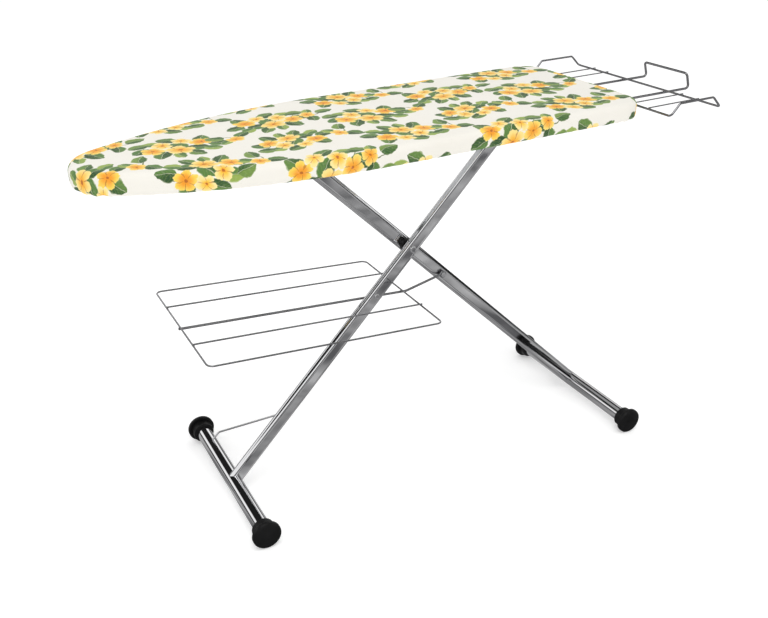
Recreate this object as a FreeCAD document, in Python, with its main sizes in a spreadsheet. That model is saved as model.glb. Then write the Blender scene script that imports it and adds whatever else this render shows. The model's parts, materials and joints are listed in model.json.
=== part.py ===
import FreeCAD, Part
import math
import os

import Sketcher
from FreeCAD import Placement, Rotation, Vector

# Folding ironing board on crossed legs, with a clothes shelf and a pull-out iron rest.
# Row frame: +X from the nose of the board to its tail, +Z up, origin on the floor under the
# middle of the whole object. The near leg and its fittings are on the -Y side.

SIZES = [
    # Board, seen from above. Lengths in mm, angles in degrees.
    ("top_height", 891.0),          # ironing surface above the floor, over the origin
    ("board_tilt", 2.6),            # tail end higher than the nose
    ("nose_reach", 761.0),          # origin to the nose tip
    ("tail_reach", 490.0),          # origin to the tail edge
    ("half_width", 230.0),
    ("nose_radius", 104.0),
    ("widest_at", -140.0),          # where the curved flanks meet the straight sides
    ("corner_radius", 72.0),
    # Cover, pad and deck, measured down from the ironing surface.
    ("cover_skin", 1.2),
    ("cover_depth", 41.0),
    ("cover_top_round", 14.0),
    ("cover_low_round", 10.0),
    ("hem_inset", 26.0),
    ("pad_top", 1.5),
    ("pad_inset", 6.0),
    ("pad_round", 7.0),
    ("deck_top", 9.5),
    ("deck_under", 10.7),
    ("deck_inset", 15.0),
    ("deck_margin", 34.0),
    ("hole_radius", 6.0),
    ("hole_pitch", 40.0),
    ("rivet_radius", 2.0),
    ("rivet_head", 4.0),
    ("frame_radius", 12.5),
    ("frame_wall", 1.2),
    ("frame_inset", 15.0),
    ("vent_radius", 2.0),
    ("cord_radius", 2.0),
    ("cord_inset", 22.0),
    ("cord_depth", 37.5),
    ("rib_width", 30.0),
    ("rib_depth", 12.0),
    ("rib_reach", 198.0),
    ("sheet_wall", 1.5),
    # Rail, hinge bracket and the pins in them.
    ("rail_drop", 46.0),            # axes of both top pins below the ironing surface
    ("rail_start", -575.0),
    ("rail_length", 300.0),
    ("rail_half", 14.0),            # half the clear width between the cheeks
    ("rail_foot", 62.0),
    ("slot_start", -541.0),
    ("slot_end", -295.0),
    ("slot_half", 5.35),
    ("bracket_half", 12.0),
    ("bracket_wall", 2.0),
    ("bracket_length", 60.0),
    ("bracket_foot", 60.0),
    ("pin_radius", 5.0),
    ("pin_play", 0.05),
    # Crossed legs.
    ("pivot_at", -4.0),
    ("pivot_height", 560.0),
    ("leg_angle", 45.25),           # each leg to the board
    ("leg_offset", 17.0),           # leg centres from the middle plane
    ("leg_width", 36.0),
    ("leg_depth", 20.0),
    ("leg_wall", 1.5),
    ("leg_overrun", 16.0),
    ("foot_height", 34.0),
    ("foot_radius", 19.0),
    ("foot_wall", 1.5),
    ("foot_reach", 236.0),
    ("cap_reach", 248.0),
    ("cap_radius", 34.0),
    ("cap_collar", 26.0),
    ("cap_sleeve", 24.0),
    ("brace_radius", 2.5),
    ("bolt_radius", 4.0),
    ("spacer_radius", 18.0),
    ("link_arm", 142.0),            # pivot to each shelf joint
    ("stud_radius", 3.0),
    # Sliding bracket and its brake lever.
    ("ear_wall", 2.2),
    ("ear_half", 18.1),
    ("lever_back", 24.0),
    ("lever_drop", 28.0),
    ("lever_pin_radius", 2.5),
    ("lever_half", 12.0),
    ("lever_length", 150.0),
    ("spring_coil", 3.9),
    ("spring_wire", 0.5),
    # Clothes shelf.
    ("shelf_tilt", 2.35),           # tail end lower than the nose end
    ("shelf_near", 117.0),          # shelf joint on leg B back to the shelf's tail edge
    ("shelf_far", 672.0),
    ("shelf_half", 198.0),
    ("shelf_wire", 2.0),
    ("shelf_corner", 14.0),
    ("rod_radius", 3.0),
    ("rod_drop", 29.0),             # rod below its hook
    ("hook_radius", 6.6),
    ("guide_drop", 12.0),           # rod below the guide's stud
    ("guide_slot", 4.7),            # half the slot's height: the rod rises and falls a little in it
    # Iron rest.
    ("rest_depth", 35.0),           # plane of the rest below the ironing surface
    ("rest_inner", 525.0),
    ("rest_outer", 677.0),
    ("rest_half", 262.0),
    ("guard_rise", 26.0),
    ("guard_lean", 25.0),
    ("rest_wire", 2.5),
    ("bar_wire", 1.5),
    ("bar_outer", 192.0),
    ("bar_inner", 139.0),
    ("arm_half", 77.0),
    ("arm_wire", 3.0),
    ("arm_start", 180.0),
    ("arm_drop", 47.0),
    ("arm_step", 505.0),
    ("hoop_reach", 758.6),
    ("hoop_rise", 38.0),
    ("hoop_lean", 11.0),
    ("bend_radius", 8.0),
    ("glide_wide", 20.0),
    ("glide_long", 24.0),
    ("glide_inner", 320.0),
    ("glide_outer", 420.0),
]

doc = FreeCAD.newDocument("ironing_board")
dims = doc.addObject("Spreadsheet::Sheet", "dims")
for row, (alias, value) in enumerate(SIZES, start=1):
    dims.set("A%d" % row, alias)
    dims.set("B%d" % row, str(value))
    dims.setAlias("B%d" % row, alias)
doc.recompute()

SUB_PARTS = []
WELD_GAP = 0.05
Y_AXIS = Vector(0, 1, 0)
FULL_TURN = 360


def size(alias):
    return float(dims.get(alias))


def on_y(angle_deg):
    return Rotation(Y_AXIS, angle_deg)


def keep(piece, name, frame=None):
    """Names a finished sub-part and places it in the frame that it was drawn in."""
    piece.Label = name
    if frame is not None:
        piece.Placement = frame.multiply(piece.Placement)
    SUB_PARTS.append(piece)
    return piece


# ---------------------------------------------------------------- frames
TILT = size("board_tilt")
ANGLE = size("leg_angle")
PIVOT = Vector(size("pivot_at"), 0, size("pivot_height"))
BOARD = Placement(Vector(0, 0, size("top_height")), on_y(-TILT))
PIVOT_ON_BOARD = BOARD.inverse().multVec(PIVOT)
UPPER_ARM = (-PIVOT_ON_BOARD.z - size("rail_drop")) / math.sin(math.radians(ANGLE))
TOP_SPAN = UPPER_ARM * math.cos(math.radians(ANGLE))
HINGE_X = PIVOT_ON_BOARD.x + TOP_SPAN
SLIDE_X = PIVOT_ON_BOARD.x - TOP_SPAN
RISE = PIVOT.z - size("foot_height")
LOWER_ARM_A = RISE / math.sin(math.radians(ANGLE + TILT))
LOWER_ARM_B = RISE / math.sin(math.radians(ANGLE - TILT))


def along_leg(arm, angle_deg, side):
    turn = math.radians(angle_deg)
    return PIVOT + Vector(side * arm * math.cos(turn), 0, -arm * math.sin(turn))


FOOT_A = along_leg(LOWER_ARM_A, ANGLE + TILT, -1)
FOOT_B = along_leg(LOWER_ARM_B, ANGLE - TILT, 1)
GUIDE_POINT = along_leg(size("link_arm"), ANGLE + TILT, -1)
HOOK_POINT = along_leg(size("link_arm"), ANGLE - TILT, 1)
SLIDE_POINT = BOARD.multVec(Vector(SLIDE_X, 0, -size("rail_drop")))

OFFSET = size("leg_offset")
LEG_A = Placement(FOOT_A + Vector(0, -OFFSET, 0), on_y(-ANGLE - TILT))
LEG_B = Placement(SLIDE_POINT + Vector(0, OFFSET, 0), on_y(ANGLE - TILT))
SLIDER = Placement(SLIDE_POINT + Vector(0, OFFSET, 0), on_y(-TILT))
SHELF = Placement(HOOK_POINT, on_y(size("shelf_tilt")))
GUIDE = Placement(GUIDE_POINT, on_y(size("shelf_tilt")))


# ---------------------------------------------------------------- drawing helpers
def part_body(name):
    return doc.addObject("PartDesign::Body", name)


def sketch_on(body, role, lift=0.0):
    """An empty sketch on one of the body's own origin planes, lifted along its normal."""
    plane = next(item for item in body.Origin.OriginFeatures if item.Role == role)
    sketch = body.newObject("Sketcher::SketchObject", body.Name + "_sketch")
    sketch.AttachmentSupport = [(plane, "")]
    sketch.MapMode = "FlatFace"
    sketch.AttachmentOffset = Placement(Vector(0, 0, lift), Rotation())
    return sketch


def bind(sketch, kind, places, expression):
    """Adds a dimension to a sketch and binds it to an expression on the sheet."""
    number = sketch.addConstraint(Sketcher.Constraint(kind, *places, sketch.evalExpression(expression)))
    sketch.setExpression("Constraints[%d]" % number, expression)


def add_polygon(sketch, corners):
    """Closed polygon: each corner is a pair of sheet expressions."""
    values = [[float(sketch.evalExpression(item)) for item in corner] for corner in corners]
    points = [Vector(x, y, 0) for x, y in values]
    first = sketch.GeometryCount
    count = len(points)
    for index in range(count):
        sketch.addGeometry(Part.LineSegment(points[index], points[(index + 1) % count]), False)
    for index in range(count):
        after = first + (index + 1) % count
        sketch.addConstraint(Sketcher.Constraint("Coincident", first + index, 2, after, 1))
    for index, corner in enumerate(corners):
        bind(sketch, "DistanceX", (-1, 1, first + index, 1), corner[0])
        bind(sketch, "DistanceY", (-1, 1, first + index, 1), corner[1])
    return sketch


def add_circle(sketch, along, up, radius):
    centre = Vector(sketch.evalExpression(along), sketch.evalExpression(up), 0)
    number = sketch.addGeometry(Part.Circle(centre, Vector(0, 0, 1), sketch.evalExpression(radius)), False)
    bind(sketch, "Radius", (number,), radius)
    bind(sketch, "DistanceX", (-1, 1, number, 3), along)
    bind(sketch, "DistanceY", (-1, 1, number, 3), up)
    return sketch


def add_oval(sketch, centre, half_flat, radius, upright):
    """Flat-sided oval about a point: two half circles joined by two straight lines."""
    middle = [sketch.evalExpression(item) for item in centre]
    reach = sketch.evalExpression(half_flat)
    round_off = sketch.evalExpression(radius)
    first = sketch.GeometryCount
    axis = Vector(0, 1, 0) if upright else Vector(1, 0, 0)
    side = Vector(-axis.y, axis.x, 0)
    start = Vector(middle[0], middle[1], 0)
    turn = math.pi / 2 if upright else 0.0
    for sign in (1, -1):
        circle = Part.Circle(start + axis * (sign * reach), Vector(0, 0, 1), round_off)
        begin = turn - math.pi / 2 + (0 if sign > 0 else math.pi)
        sketch.addGeometry(Part.ArcOfCircle(circle, begin, begin + math.pi), False)
    for sign in (1, -1):
        edge = side * (sign * round_off)
        ends = (start + axis * reach + edge, start - axis * reach + edge)
        sketch.addGeometry(Part.LineSegment(*ends), False)
    top, low, left, right = range(first, first + 4)
    for arc, arc_end, line, line_end in ((top, 2, left, 1), (left, 2, low, 1),
                                         (low, 2, right, 2), (right, 1, top, 1)):
        if arc in (left, right):
            arc, arc_end, line, line_end = line, line_end, arc, arc_end
        sketch.addConstraint(Sketcher.Constraint("Tangent", arc, arc_end, line, line_end))
    bind(sketch, "Radius", (top,), radius)
    along, across = ("DistanceY", "DistanceX") if upright else ("DistanceX", "DistanceY")
    mid_along, mid_across = (centre[1], centre[0]) if upright else centre
    bind(sketch, along, (-1, 1, top, 3), "(%s) + (%s)" % (mid_along, half_flat))
    bind(sketch, across, (-1, 1, top, 3), mid_across)
    bind(sketch, along, (-1, 1, low, 3), "(%s) - (%s)" % (mid_along, half_flat))
    bind(sketch, across, (-1, 1, low, 3), mid_across)
    return sketch


def pad(body, sketch, length, centred=False):
    feature = body.newObject("PartDesign::Pad", body.Name + "_pad")
    feature.Profile = sketch
    feature.setExpression("Length", length)
    feature.Midplane = centred
    doc.recompute()
    return feature


def pocket(body, sketch, length=None):
    """Cuts both ways from the sketch: through everything, or to a stated total length."""
    before = body.Shape.Volume
    feature = body.newObject("PartDesign::Pocket", body.Name + "_pocket")
    feature.Profile = sketch
    feature.Midplane = True
    if length is None:
        feature.Type = 1
    else:
        feature.setExpression("Length", length)
    doc.recompute()
    if body.Shape.Volume > before - 1e-3:
        raise RuntimeError("pocket cuts nothing in " + body.Name)
    return feature


def round_edges(body, wanted, radius):
    """Fillets the edges of the body's tip for which wanted(edge) is true."""
    tip = body.Tip
    names = ["Edge%d" % (index + 1) for index, edge in enumerate(tip.Shape.Edges) if wanted(edge)]
    fillet = body.newObject("PartDesign::Fillet", body.Name + "_fillet")
    fillet.Base = (tip, names)
    fillet.Radius = radius
    doc.recompute()
    return fillet


def is_rim(edge, radius, height):
    """True for a full circle about Y of this radius at this distance along Y."""
    curve = edge.Curve
    return (isinstance(curve, Part.Circle) and abs(curve.Radius - radius) < 1e-3
            and abs(curve.Center.y - height) < 1e-3)


def turned(name, frame, profile, rounded=()):
    """A piece turned about Y. The profile's corners are (radius, distance along Y)."""
    body = part_body(name)
    sketch = add_polygon(sketch_on(body, "XY_Plane"), profile)
    lathe = body.newObject("PartDesign::Revolution", name + "_turn")
    lathe.Profile = sketch
    lathe.ReferenceAxis = (sketch, ["V_Axis"])
    lathe.Angle = FULL_TURN
    doc.recompute()
    for radius, height, fillet in rounded:
        round_edges(body, lambda edge: is_rim(edge, radius, height), fillet)
    return keep(body, name, frame)


def cylinder_on(name, radius, length, start, direction):
    """A Part cylinder between start and start + length * direction."""
    piece = doc.addObject("Part::Cylinder", name)
    piece.setExpression("Radius", radius)
    piece.setExpression("Height", length)
    piece.Placement = Placement(start, Rotation(Vector(0, 0, 1), direction))
    return piece


def box_on(name, lengths, corner):
    piece = doc.addObject("Part::Box", name)
    for prop, expression in zip(("Length", "Width", "Height"), lengths):
        piece.setExpression(prop, expression)
    piece.Placement.Base = corner
    return piece


def cut_from(name, base, tool):
    result = doc.addObject("Part::Cut", name)
    result.Base = base
    result.Tool = tool
    return result


def group_of(name, members, frame):
    """Separate solids that share one node."""
    group = doc.addObject("Part::Compound", name)
    group.Links = members
    return keep(group, name, frame)


def fused(name, members):
    result = doc.addObject("Part::MultiFuse", name)
    result.Shapes = members
    return result


def bent_path(points, radius, closed=False):
    """Straight runs joined by tangent arcs of one radius."""
    count = len(points)
    bends = range(count) if closed else range(1, count - 1)
    joints = {}
    for index in bends:
        here = points[index]
        back = (points[index - 1] - here).normalize()
        onward = (points[(index + 1) % count] - here).normalize()
        half = back.getAngle(onward) / 2
        reach = radius / math.tan(half)
        inward = (back + onward).normalize()
        middle = here + inward * (radius / math.sin(half) - radius)
        joints[index] = (here + back * reach, middle, here + onward * reach)
    edges = []
    for index in range(count if closed else count - 1):
        after = (index + 1) % count
        start = joints[index][2] if index in joints else points[index]
        end = joints[after][0] if after in joints else points[after]
        edges.append(Part.LineSegment(start, end).toShape())
        if after in joints:
            edges.append(Part.Arc(*joints[after]).toShape())
    return Part.Wire(edges)


def bent_wire(name, points, radius_alias, bend=None, closed=False):
    """Round wire swept along a bent path: a spine, a circle across its start and a sweep."""
    path = bent_path(points, bend or size("bend_radius"), closed)
    spine = doc.addObject("Part::Feature", name + "_spine")
    spine.Shape = path
    first = path.Edges[0]
    section = doc.addObject("Part::Circle", name + "_section")
    section.setExpression("Radius", "dims." + radius_alias)
    start = first.valueAt(first.FirstParameter)
    section.Placement = Placement(start, Rotation(Vector(0, 0, 1), first.tangentAt(first.FirstParameter)))
    sweep = doc.addObject("Part::Sweep", name + "_sweep")
    sweep.Sections = [section]
    sweep.Spine = (spine, ["Edge%d" % (index + 1) for index in range(len(path.Edges))])
    sweep.Solid = True
    sweep.Frenet = False
    return sweep


# ---------------------------------------------------------------- board
def outline(inset, depth):
    """Plan of the board, inset evenly: straight sides, round tail corners, arched nose."""
    half = size("half_width")
    nose = size("nose_radius")
    widest = size("widest_at")
    tail = size("tail_reach") - inset
    corner = size("corner_radius") - inset
    nose_centre = Vector(size("nose_radius") - size("nose_reach"), 0, -depth)
    run = nose_centre.x - widest
    flank = (run * run + half * half - nose * nose) / (2 * (half - nose))
    side = half - inset
    edges = []
    right_angle = Vector(math.sqrt(0.5), math.sqrt(0.5), 0)
    for sign in (1, -1):
        centre = Vector(widest, sign * (half - flank), -depth)
        lean = (nose_centre - centre).normalize()
        meet = centre + lean * (flank - inset)
        begin = Vector(widest, sign * side, -depth)
        halfway = ((begin - centre).normalize() + lean).normalize()
        corner_start = Vector(tail - corner, sign * side, -depth)
        corner_end = Vector(tail, sign * (side - corner), -depth)
        corner_centre = Vector(tail - corner, sign * (side - corner), -depth)
        bulge = Vector(right_angle.x, sign * right_angle.y, 0)
        edges.append(Part.Arc(meet, centre + halfway * (flank - inset), begin).toShape())
        edges.append(Part.LineSegment(begin, corner_start).toShape())
        edges.append(Part.Arc(corner_start, corner_centre + bulge * corner, corner_end).toShape())
        if sign > 0:
            upper_meet = meet
            edges.append(Part.LineSegment(corner_end, Vector(tail, corner - side, -depth)).toShape())
    tip = nose_centre - Vector(nose - inset, 0, 0)
    edges.append(Part.Arc(meet, tip, upper_meet).toShape())
    return Part.Wire(Part.__sortEdges__(edges))


def slab(inset, top, bottom):
    """Flat plate of the board's plan between two depths."""
    return Part.Face(outline(inset, bottom)).extrude(Vector(0, 0, bottom - top))


def edges_at(shape, depth):
    """Edges of a slab that lie flat at this depth."""
    level = -depth
    return [edge for edge in shape.Edges
            if abs(edge.BoundBox.ZMin - level) < 1e-4 and abs(edge.BoundBox.ZMax - level) < 1e-4]


def softened(shape, depth, radius):
    return shape.makeFillet(radius, edges_at(shape, depth))


def feature_of(name, shape, frame):
    piece = doc.addObject("Part::Feature", name)
    piece.Shape = shape
    return keep(piece, name, frame)


def tube_along(path, outer, inner):
    """Hollow tube swept along a closed path."""
    first = path.Edges[0]
    start = first.valueAt(first.FirstParameter)
    heading = first.tangentAt(first.FirstParameter)
    solids = []
    for radius in (outer, inner):
        if radius > 0:
            section = Part.Wire([Part.Circle(start, heading, radius).toShape()])
            solids.append(path.makePipeShell([section], True, False))
    return solids[0].cut(solids[1]) if inner > 0 else solids[0]


def build_cover():
    """Cloth skin over the pad, turned under at the bottom round an open hem."""
    skin = size("cover_skin")
    depth = size("cover_depth")
    outer = softened(slab(0.0, 0.0, depth), 0.0, size("cover_top_round"))
    outer = softened(outer, depth, size("cover_low_round"))
    inner = softened(slab(skin, skin, depth - skin), skin, size("cover_top_round") - skin)
    inner = softened(inner, depth - skin, size("cover_low_round") - skin)
    mouth = slab(size("hem_inset"), depth - 3 * skin, depth + skin)
    feature_of("cover", outer.cut(inner).cut(mouth), BOARD)


def build_pad():
    plate = slab(size("pad_inset"), size("pad_top"), size("deck_top") - WELD_GAP)
    feature_of("pad", softened(plate, size("pad_top"), size("pad_round")), BOARD)


def build_drawcord():
    path = outline(size("cord_inset"), size("cord_depth"))
    feature_of("cover_drawcord", tube_along(path, size("cord_radius"), 0.0), BOARD)


def build_perimeter_frame():
    """Steel tube round the board, with a small drain hole under the nose."""
    radius = size("frame_radius")
    centre = size("deck_under") + WELD_GAP + radius
    tube = tube_along(outline(size("frame_inset"), centre), radius, radius - size("frame_wall"))
    nose = Vector(size("frame_inset") - size("nose_reach"), 0, -centre)
    drain = Part.makeCylinder(size("vent_radius"), 2 * radius, nose, Vector(0, 0, -1))
    feature_of("perimeter_frame", tube.cut(drain), BOARD)


def rivet_places():
    """Centres of the rivets that hold the hinge bracket and the rail to the deck."""
    reach = size("bracket_length") / 2 - 8
    spread = size("bracket_half") / 2
    places = [Vector(HINGE_X + along * reach, across * spread - OFFSET, 0)
              for along in (-1, 1) for across in (-1, 1)]
    step = (size("rail_length") - 24) / 3
    places += [Vector(size("rail_start") + 12 + index * step, OFFSET, 0) for index in range(4)]
    return places


def build_deck():
    """Perforated steel sheet under the pad, with rows of round holes set half a pitch apart."""
    top = size("deck_top")
    under = size("deck_under")
    pitch = size("hole_pitch")
    rim = Part.Face(outline(size("deck_margin"), under))
    rivets = rivet_places()
    holes = [(spot, size("rivet_radius")) for spot in rivets]
    row_step = pitch * math.sqrt(3) / 2
    rows = int(size("half_width") / row_step)
    columns = int(2 * size("nose_reach") / pitch)
    for row_number in range(-rows, rows + 1):
        shift = pitch / 2 if row_number % 2 else 0.0
        for column in range(columns):
            spot = Vector(column * pitch + shift - size("nose_reach"), row_number * row_step, 0)
            clear = all((spot - rivet).Length > size("hole_radius") * 2 for rivet in rivets)
            if clear and rim.isInside(spot - Vector(0, 0, under), 1e-3, True):
                holes.append((spot, size("hole_radius")))
    wires = [outline(size("deck_inset"), under)]
    for spot, radius in holes:
        circle = Part.Circle(spot - Vector(0, 0, under), Vector(0, 0, 1), radius)
        wires.append(Part.Wire([circle.toShape()]))
    sheet = Part.Face(wires, "Part::FaceMakerCheese")
    feature_of("top_panel", sheet.extrude(Vector(0, 0, under - top)), BOARD)


def build_cross_members():
    """Three pressed ribs under the deck, open towards the floor."""
    ribs = []
    for index, centre in enumerate((-230.0, 120.0, 372.0)):
        corner = Vector(centre - size("rib_width") / 2, -size("rib_reach"),
                        -size("deck_under") - WELD_GAP - size("rib_depth"))
        outer = box_on("rib_%d" % index, ("dims.rib_width", "2 * dims.rib_reach", "dims.rib_depth"), corner)
        wall = size("sheet_wall")
        inner = box_on("rib_space_%d" % index,
                       ("dims.rib_width - 2 * dims.sheet_wall", "2 * dims.rib_reach + 2",
                        "dims.rib_depth - dims.sheet_wall + 1"), corner + Vector(wall, -1, -1))
        ribs.append(cut_from("rib_cut_%d" % index, outer, inner))
    group_of("cross_members", ribs, BOARD)


def channel(name, half, wall, foot, length, frame):
    """Sheet channel open towards the floor, drawn across X and padded along it."""
    body = part_body(name)
    high = "-dims.deck_under - %g" % WELD_GAP
    outer = "dims.%s + dims.%s" % (half, wall)
    inner = "dims." + half
    corners = [("-(%s)" % outer, "-dims." + foot), ("-(%s)" % outer, high), (outer, high),
               (outer, "-dims." + foot), (inner, "-dims." + foot), (inner, "%s - dims.%s" % (high, wall)),
               ("-" + inner, "%s - dims.%s" % (high, wall)), ("-" + inner, "-dims." + foot)]
    pad(body, add_polygon(sketch_on(body, "YZ_Plane"), corners), "dims." + length)
    return keep(body, name, frame)


def build_rail():
    """Channel with a long slot in each cheek, in which the top pin of leg B slides."""
    start = Vector(size("rail_start"), OFFSET, 0)
    body = channel("slide_rail", "rail_half", "sheet_wall", "rail_foot", "rail_length",
                   BOARD.multiply(Placement(start, Rotation())))
    middle = "(dims.slot_start + dims.slot_end) / 2 - dims.rail_start"
    flat = "(dims.slot_end - dims.slot_start) / 2 - dims.slot_half"
    slots = add_oval(sketch_on(body, "XZ_Plane"), (middle, "-dims.rail_drop"), flat, "dims.slot_half", False)
    pocket(body, slots)
    drilled = sketch_on(body, "XY_Plane", -size("deck_under"))
    for spot in rivet_places()[4:]:
        add_circle(drilled, "%g" % (spot.x - start.x), "%g" % (spot.y - start.y), "dims.rivet_radius")
    pocket(body, drilled, "6 * dims.sheet_wall")


def build_hinge_bracket():
    """Channel that carries the fixed top pin of leg A."""
    start = Vector(HINGE_X - size("bracket_length") / 2, -OFFSET, 0)
    body = channel("hinge_bracket", "bracket_half", "bracket_wall", "bracket_foot", "bracket_length",
                   BOARD.multiply(Placement(start, Rotation())))
    bores = add_circle(sketch_on(body, "XZ_Plane"), "dims.bracket_length / 2", "-dims.rail_drop",
                       "dims.pin_radius + dims.pin_play")
    pocket(body, bores)
    drilled = sketch_on(body, "XY_Plane", -size("deck_under"))
    for spot in rivet_places()[:4]:
        add_circle(drilled, "%g" % (spot.x - start.x), "%g" % (spot.y - start.y), "dims.rivet_radius")
    pocket(body, drilled, "6 * dims.sheet_wall")


def build_rivets():
    """Round-headed rivets, flush with the top of the deck and headed under the channels."""
    rivets = []
    head_height = 1.5
    for index, spot in enumerate(rivet_places()):
        wall = size("bracket_wall") if index < 4 else size("sheet_wall")
        seat = -size("deck_under") - wall - 2 * WELD_GAP
        shank = cylinder_on("rivet_shank_%d" % index, "dims.rivet_radius - %g" % WELD_GAP,
                            "%g" % (-size("deck_top") - seat), spot + Vector(0, 0, seat), Vector(0, 0, 1))
        head = doc.addObject("Part::Cone", "rivet_head_%d" % index)
        head.setExpression("Radius1", "dims.rivet_head * 0.6")
        head.setExpression("Radius2", "dims.rivet_head")
        head.Height = head_height
        head.Placement.Base = spot + Vector(0, 0, seat - head_height)
        rivets.append(fused("rivet_%d" % index, [shank, head]))
    group_of("deck_rivets", rivets, BOARD)


def build_hinge_pin():
    frame = BOARD.multiply(Placement(Vector(HINGE_X, -OFFSET, -size("rail_drop")), Rotation()))
    end = "dims.bracket_half + dims.bracket_wall"
    turned("hinge_pin", frame, [
        ("0", "-(%s) - 4" % end), ("8", "-(%s) - 4" % end), ("8", "-(%s) - 0.3" % end),
        ("dims.pin_radius", "-(%s) - 0.3" % end), ("dims.pin_radius", "%s + 0.3" % end),
        ("7", "%s + 0.3" % end), ("7", "%s + 2.5" % end), ("0", "%s + 2.5" % end)],
        rounded=[(8.0, -size("bracket_half") - size("bracket_wall") - 4, 2.0)])


def build_rest_glides():
    """Four plastic blocks under the deck, in which the arms of the iron rest slide."""
    blocks = []
    for place in ("glide_inner", "glide_outer"):
        for side in (-1, 1):
            name = "%s_%s" % (place, "near" if side < 0 else "far")
            low = size("arm_drop") + size("arm_wire") + 4
            corner = Vector(size(place) - size("glide_long") / 2,
                            side * size("arm_half") - size("glide_wide") / 2, -low)
            height = "%g - dims.deck_under" % (low - WELD_GAP)
            block = box_on(name, ("dims.glide_long", "dims.glide_wide", height), corner)
            bore_start = Vector(size(place) - size("glide_long"), side * size("arm_half"), -size("arm_drop"))
            bore = cylinder_on(name + "_bore", "dims.arm_wire + 0.35", "2 * dims.glide_long",
                               bore_start, Vector(1, 0, 0))
            blocks.append(cut_from(name + "_cut", block, bore))
    group_of("rest_glides", blocks, BOARD)


# ---------------------------------------------------------------- legs
def leg_tube(name, frame, start, end, bores, foot_at):
    """Flat-sided oval tube along X, cross drilled, with its foot end shaped to the crossbar."""
    body = part_body(name)
    half_flat = "(dims.leg_width - dims.leg_depth) / 2"
    section = sketch_on(body, "YZ_Plane", start)
    add_oval(section, ("0", "0"), half_flat, "dims.leg_depth / 2", True)
    add_oval(section, ("0", "0"), half_flat, "dims.leg_depth / 2 - dims.leg_wall", True)
    pad(body, section, "%g" % (end - start))
    drilled = sketch_on(body, "XZ_Plane")
    for place, radius in bores:
        add_circle(drilled, "%g" % place, "0", radius)
    add_circle(drilled, "%g" % foot_at, "0", "dims.foot_radius + %g" % WELD_GAP)
    pocket(body, drilled)
    keep(body, name, frame)


def end_plug(name, frame, end, side):
    """Black plastic plug in the open top end of a leg tube."""
    body = part_body(name)
    half_flat = "(dims.leg_width - dims.leg_depth) / 2"
    cap_long = 2.0
    inside = sketch_on(body, "YZ_Plane", end - side * 7.0)
    add_oval(inside, ("0", "0"), half_flat, "dims.leg_depth / 2 - dims.leg_wall - 0.1", True)
    stem = pad(body, inside, "%g" % (7.0 + cap_long))
    stem.Reversed = side < 0
    head = sketch_on(body, "YZ_Plane", end + side * WELD_GAP)
    add_oval(head, ("0", "0"), half_flat, "dims.leg_depth / 2", True)
    flange = pad(body, head, "%g" % cap_long)
    flange.Reversed = side < 0
    keep(body, name, frame)


def crossbar(name, foot):
    """Round tube across the foot of a leg."""
    start = foot - Vector(0, size("foot_reach"), 0)
    outer = cylinder_on(name + "_outer", "dims.foot_radius", "2 * dims.foot_reach", start, Y_AXIS)
    inner = cylinder_on(name + "_inner", "dims.foot_radius - dims.foot_wall",
                        "2 * dims.foot_reach + 2", start - Y_AXIS, Y_AXIS)
    keep(cut_from(name, outer, inner), name)


def foot_cap(name, foot, side):
    """Black cap: a sleeve over the tube's end and a wide round foot with a soft rim."""
    turn = Rotation() if side > 0 else Rotation(Vector(0, 0, 1), 180)
    socket = "dims.foot_radius + 0.1"
    seat = "dims.foot_reach + 0.2"
    disc = "dims.cap_reach - 14"
    turned(name, Placement(foot, turn), [
        (socket, "dims.foot_reach - dims.cap_sleeve"),
        ("dims.cap_collar", "dims.foot_reach - dims.cap_sleeve"),
        ("dims.cap_collar", disc), ("dims.cap_radius", disc),
        ("dims.cap_radius", "dims.cap_reach - 2"), ("0", "dims.cap_reach"),
        ("0", seat), (socket, seat)],
        rounded=[(size("cap_radius"), size("cap_reach") - 2, 5.5),
                 (size("cap_radius"), size("cap_reach") - 14, 1.5),
                 (size("cap_collar"), size("foot_reach") - size("cap_sleeve"), 1.2)])


def build_leg_a():
    top = LOWER_ARM_A + UPPER_ARM
    leg_tube("leg_a_tube", LEG_A, 0.0, top + size("leg_overrun"), [
        (LOWER_ARM_A, "dims.bolt_radius + dims.pin_play"),
        (LOWER_ARM_A - size("link_arm"), "dims.stud_radius + dims.pin_play"),
        (top, "dims.pin_radius + dims.pin_play")], 0.0)
    end_plug("leg_a_plug", LEG_A, top + size("leg_overrun"), 1)
    crossbar("leg_a_crossbar", FOOT_A)
    foot_cap("foot_cap_a_near", FOOT_A, -1)
    foot_cap("foot_cap_a_far", FOOT_A, 1)


def build_leg_b():
    arm = UPPER_ARM + LOWER_ARM_B
    leg_tube("leg_b_tube", LEG_B, -size("leg_overrun"), arm, [
        (0.0, "dims.pin_radius + dims.pin_play"),
        (UPPER_ARM, "dims.bolt_radius + dims.pin_play"),
        (UPPER_ARM + size("link_arm"), "dims.stud_radius + dims.pin_play")], arm)
    end_plug("leg_b_plug", LEG_B, -size("leg_overrun"), -1)
    crossbar("leg_b_crossbar", FOOT_B)
    foot_cap("foot_cap_b_near", FOOT_B, -1)
    foot_cap("foot_cap_b_far", FOOT_B, 1)


def build_brace():
    """Thin wire stay from the top of crossbar A to the inner side of leg A."""
    stand_off = 144.0
    rise = size("foot_radius") + size("brace_radius")
    along = 190.0
    lift = 8.0
    turn = math.radians(ANGLE + TILT)
    end = FOOT_A + Vector(along * math.cos(turn) - lift * math.sin(turn), 0,
                          along * math.sin(turn) + lift * math.cos(turn))
    end.y = size("leg_depth") / 2 - OFFSET + size("brace_radius")
    points = [FOOT_A + Vector(2, stand_off, rise - 1), FOOT_A + Vector(20, stand_off - 1, rise + 17), end]
    keep(bent_wire("leg_a_brace", points, "brace_radius", bend=7.0), "leg_a_brace")


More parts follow.
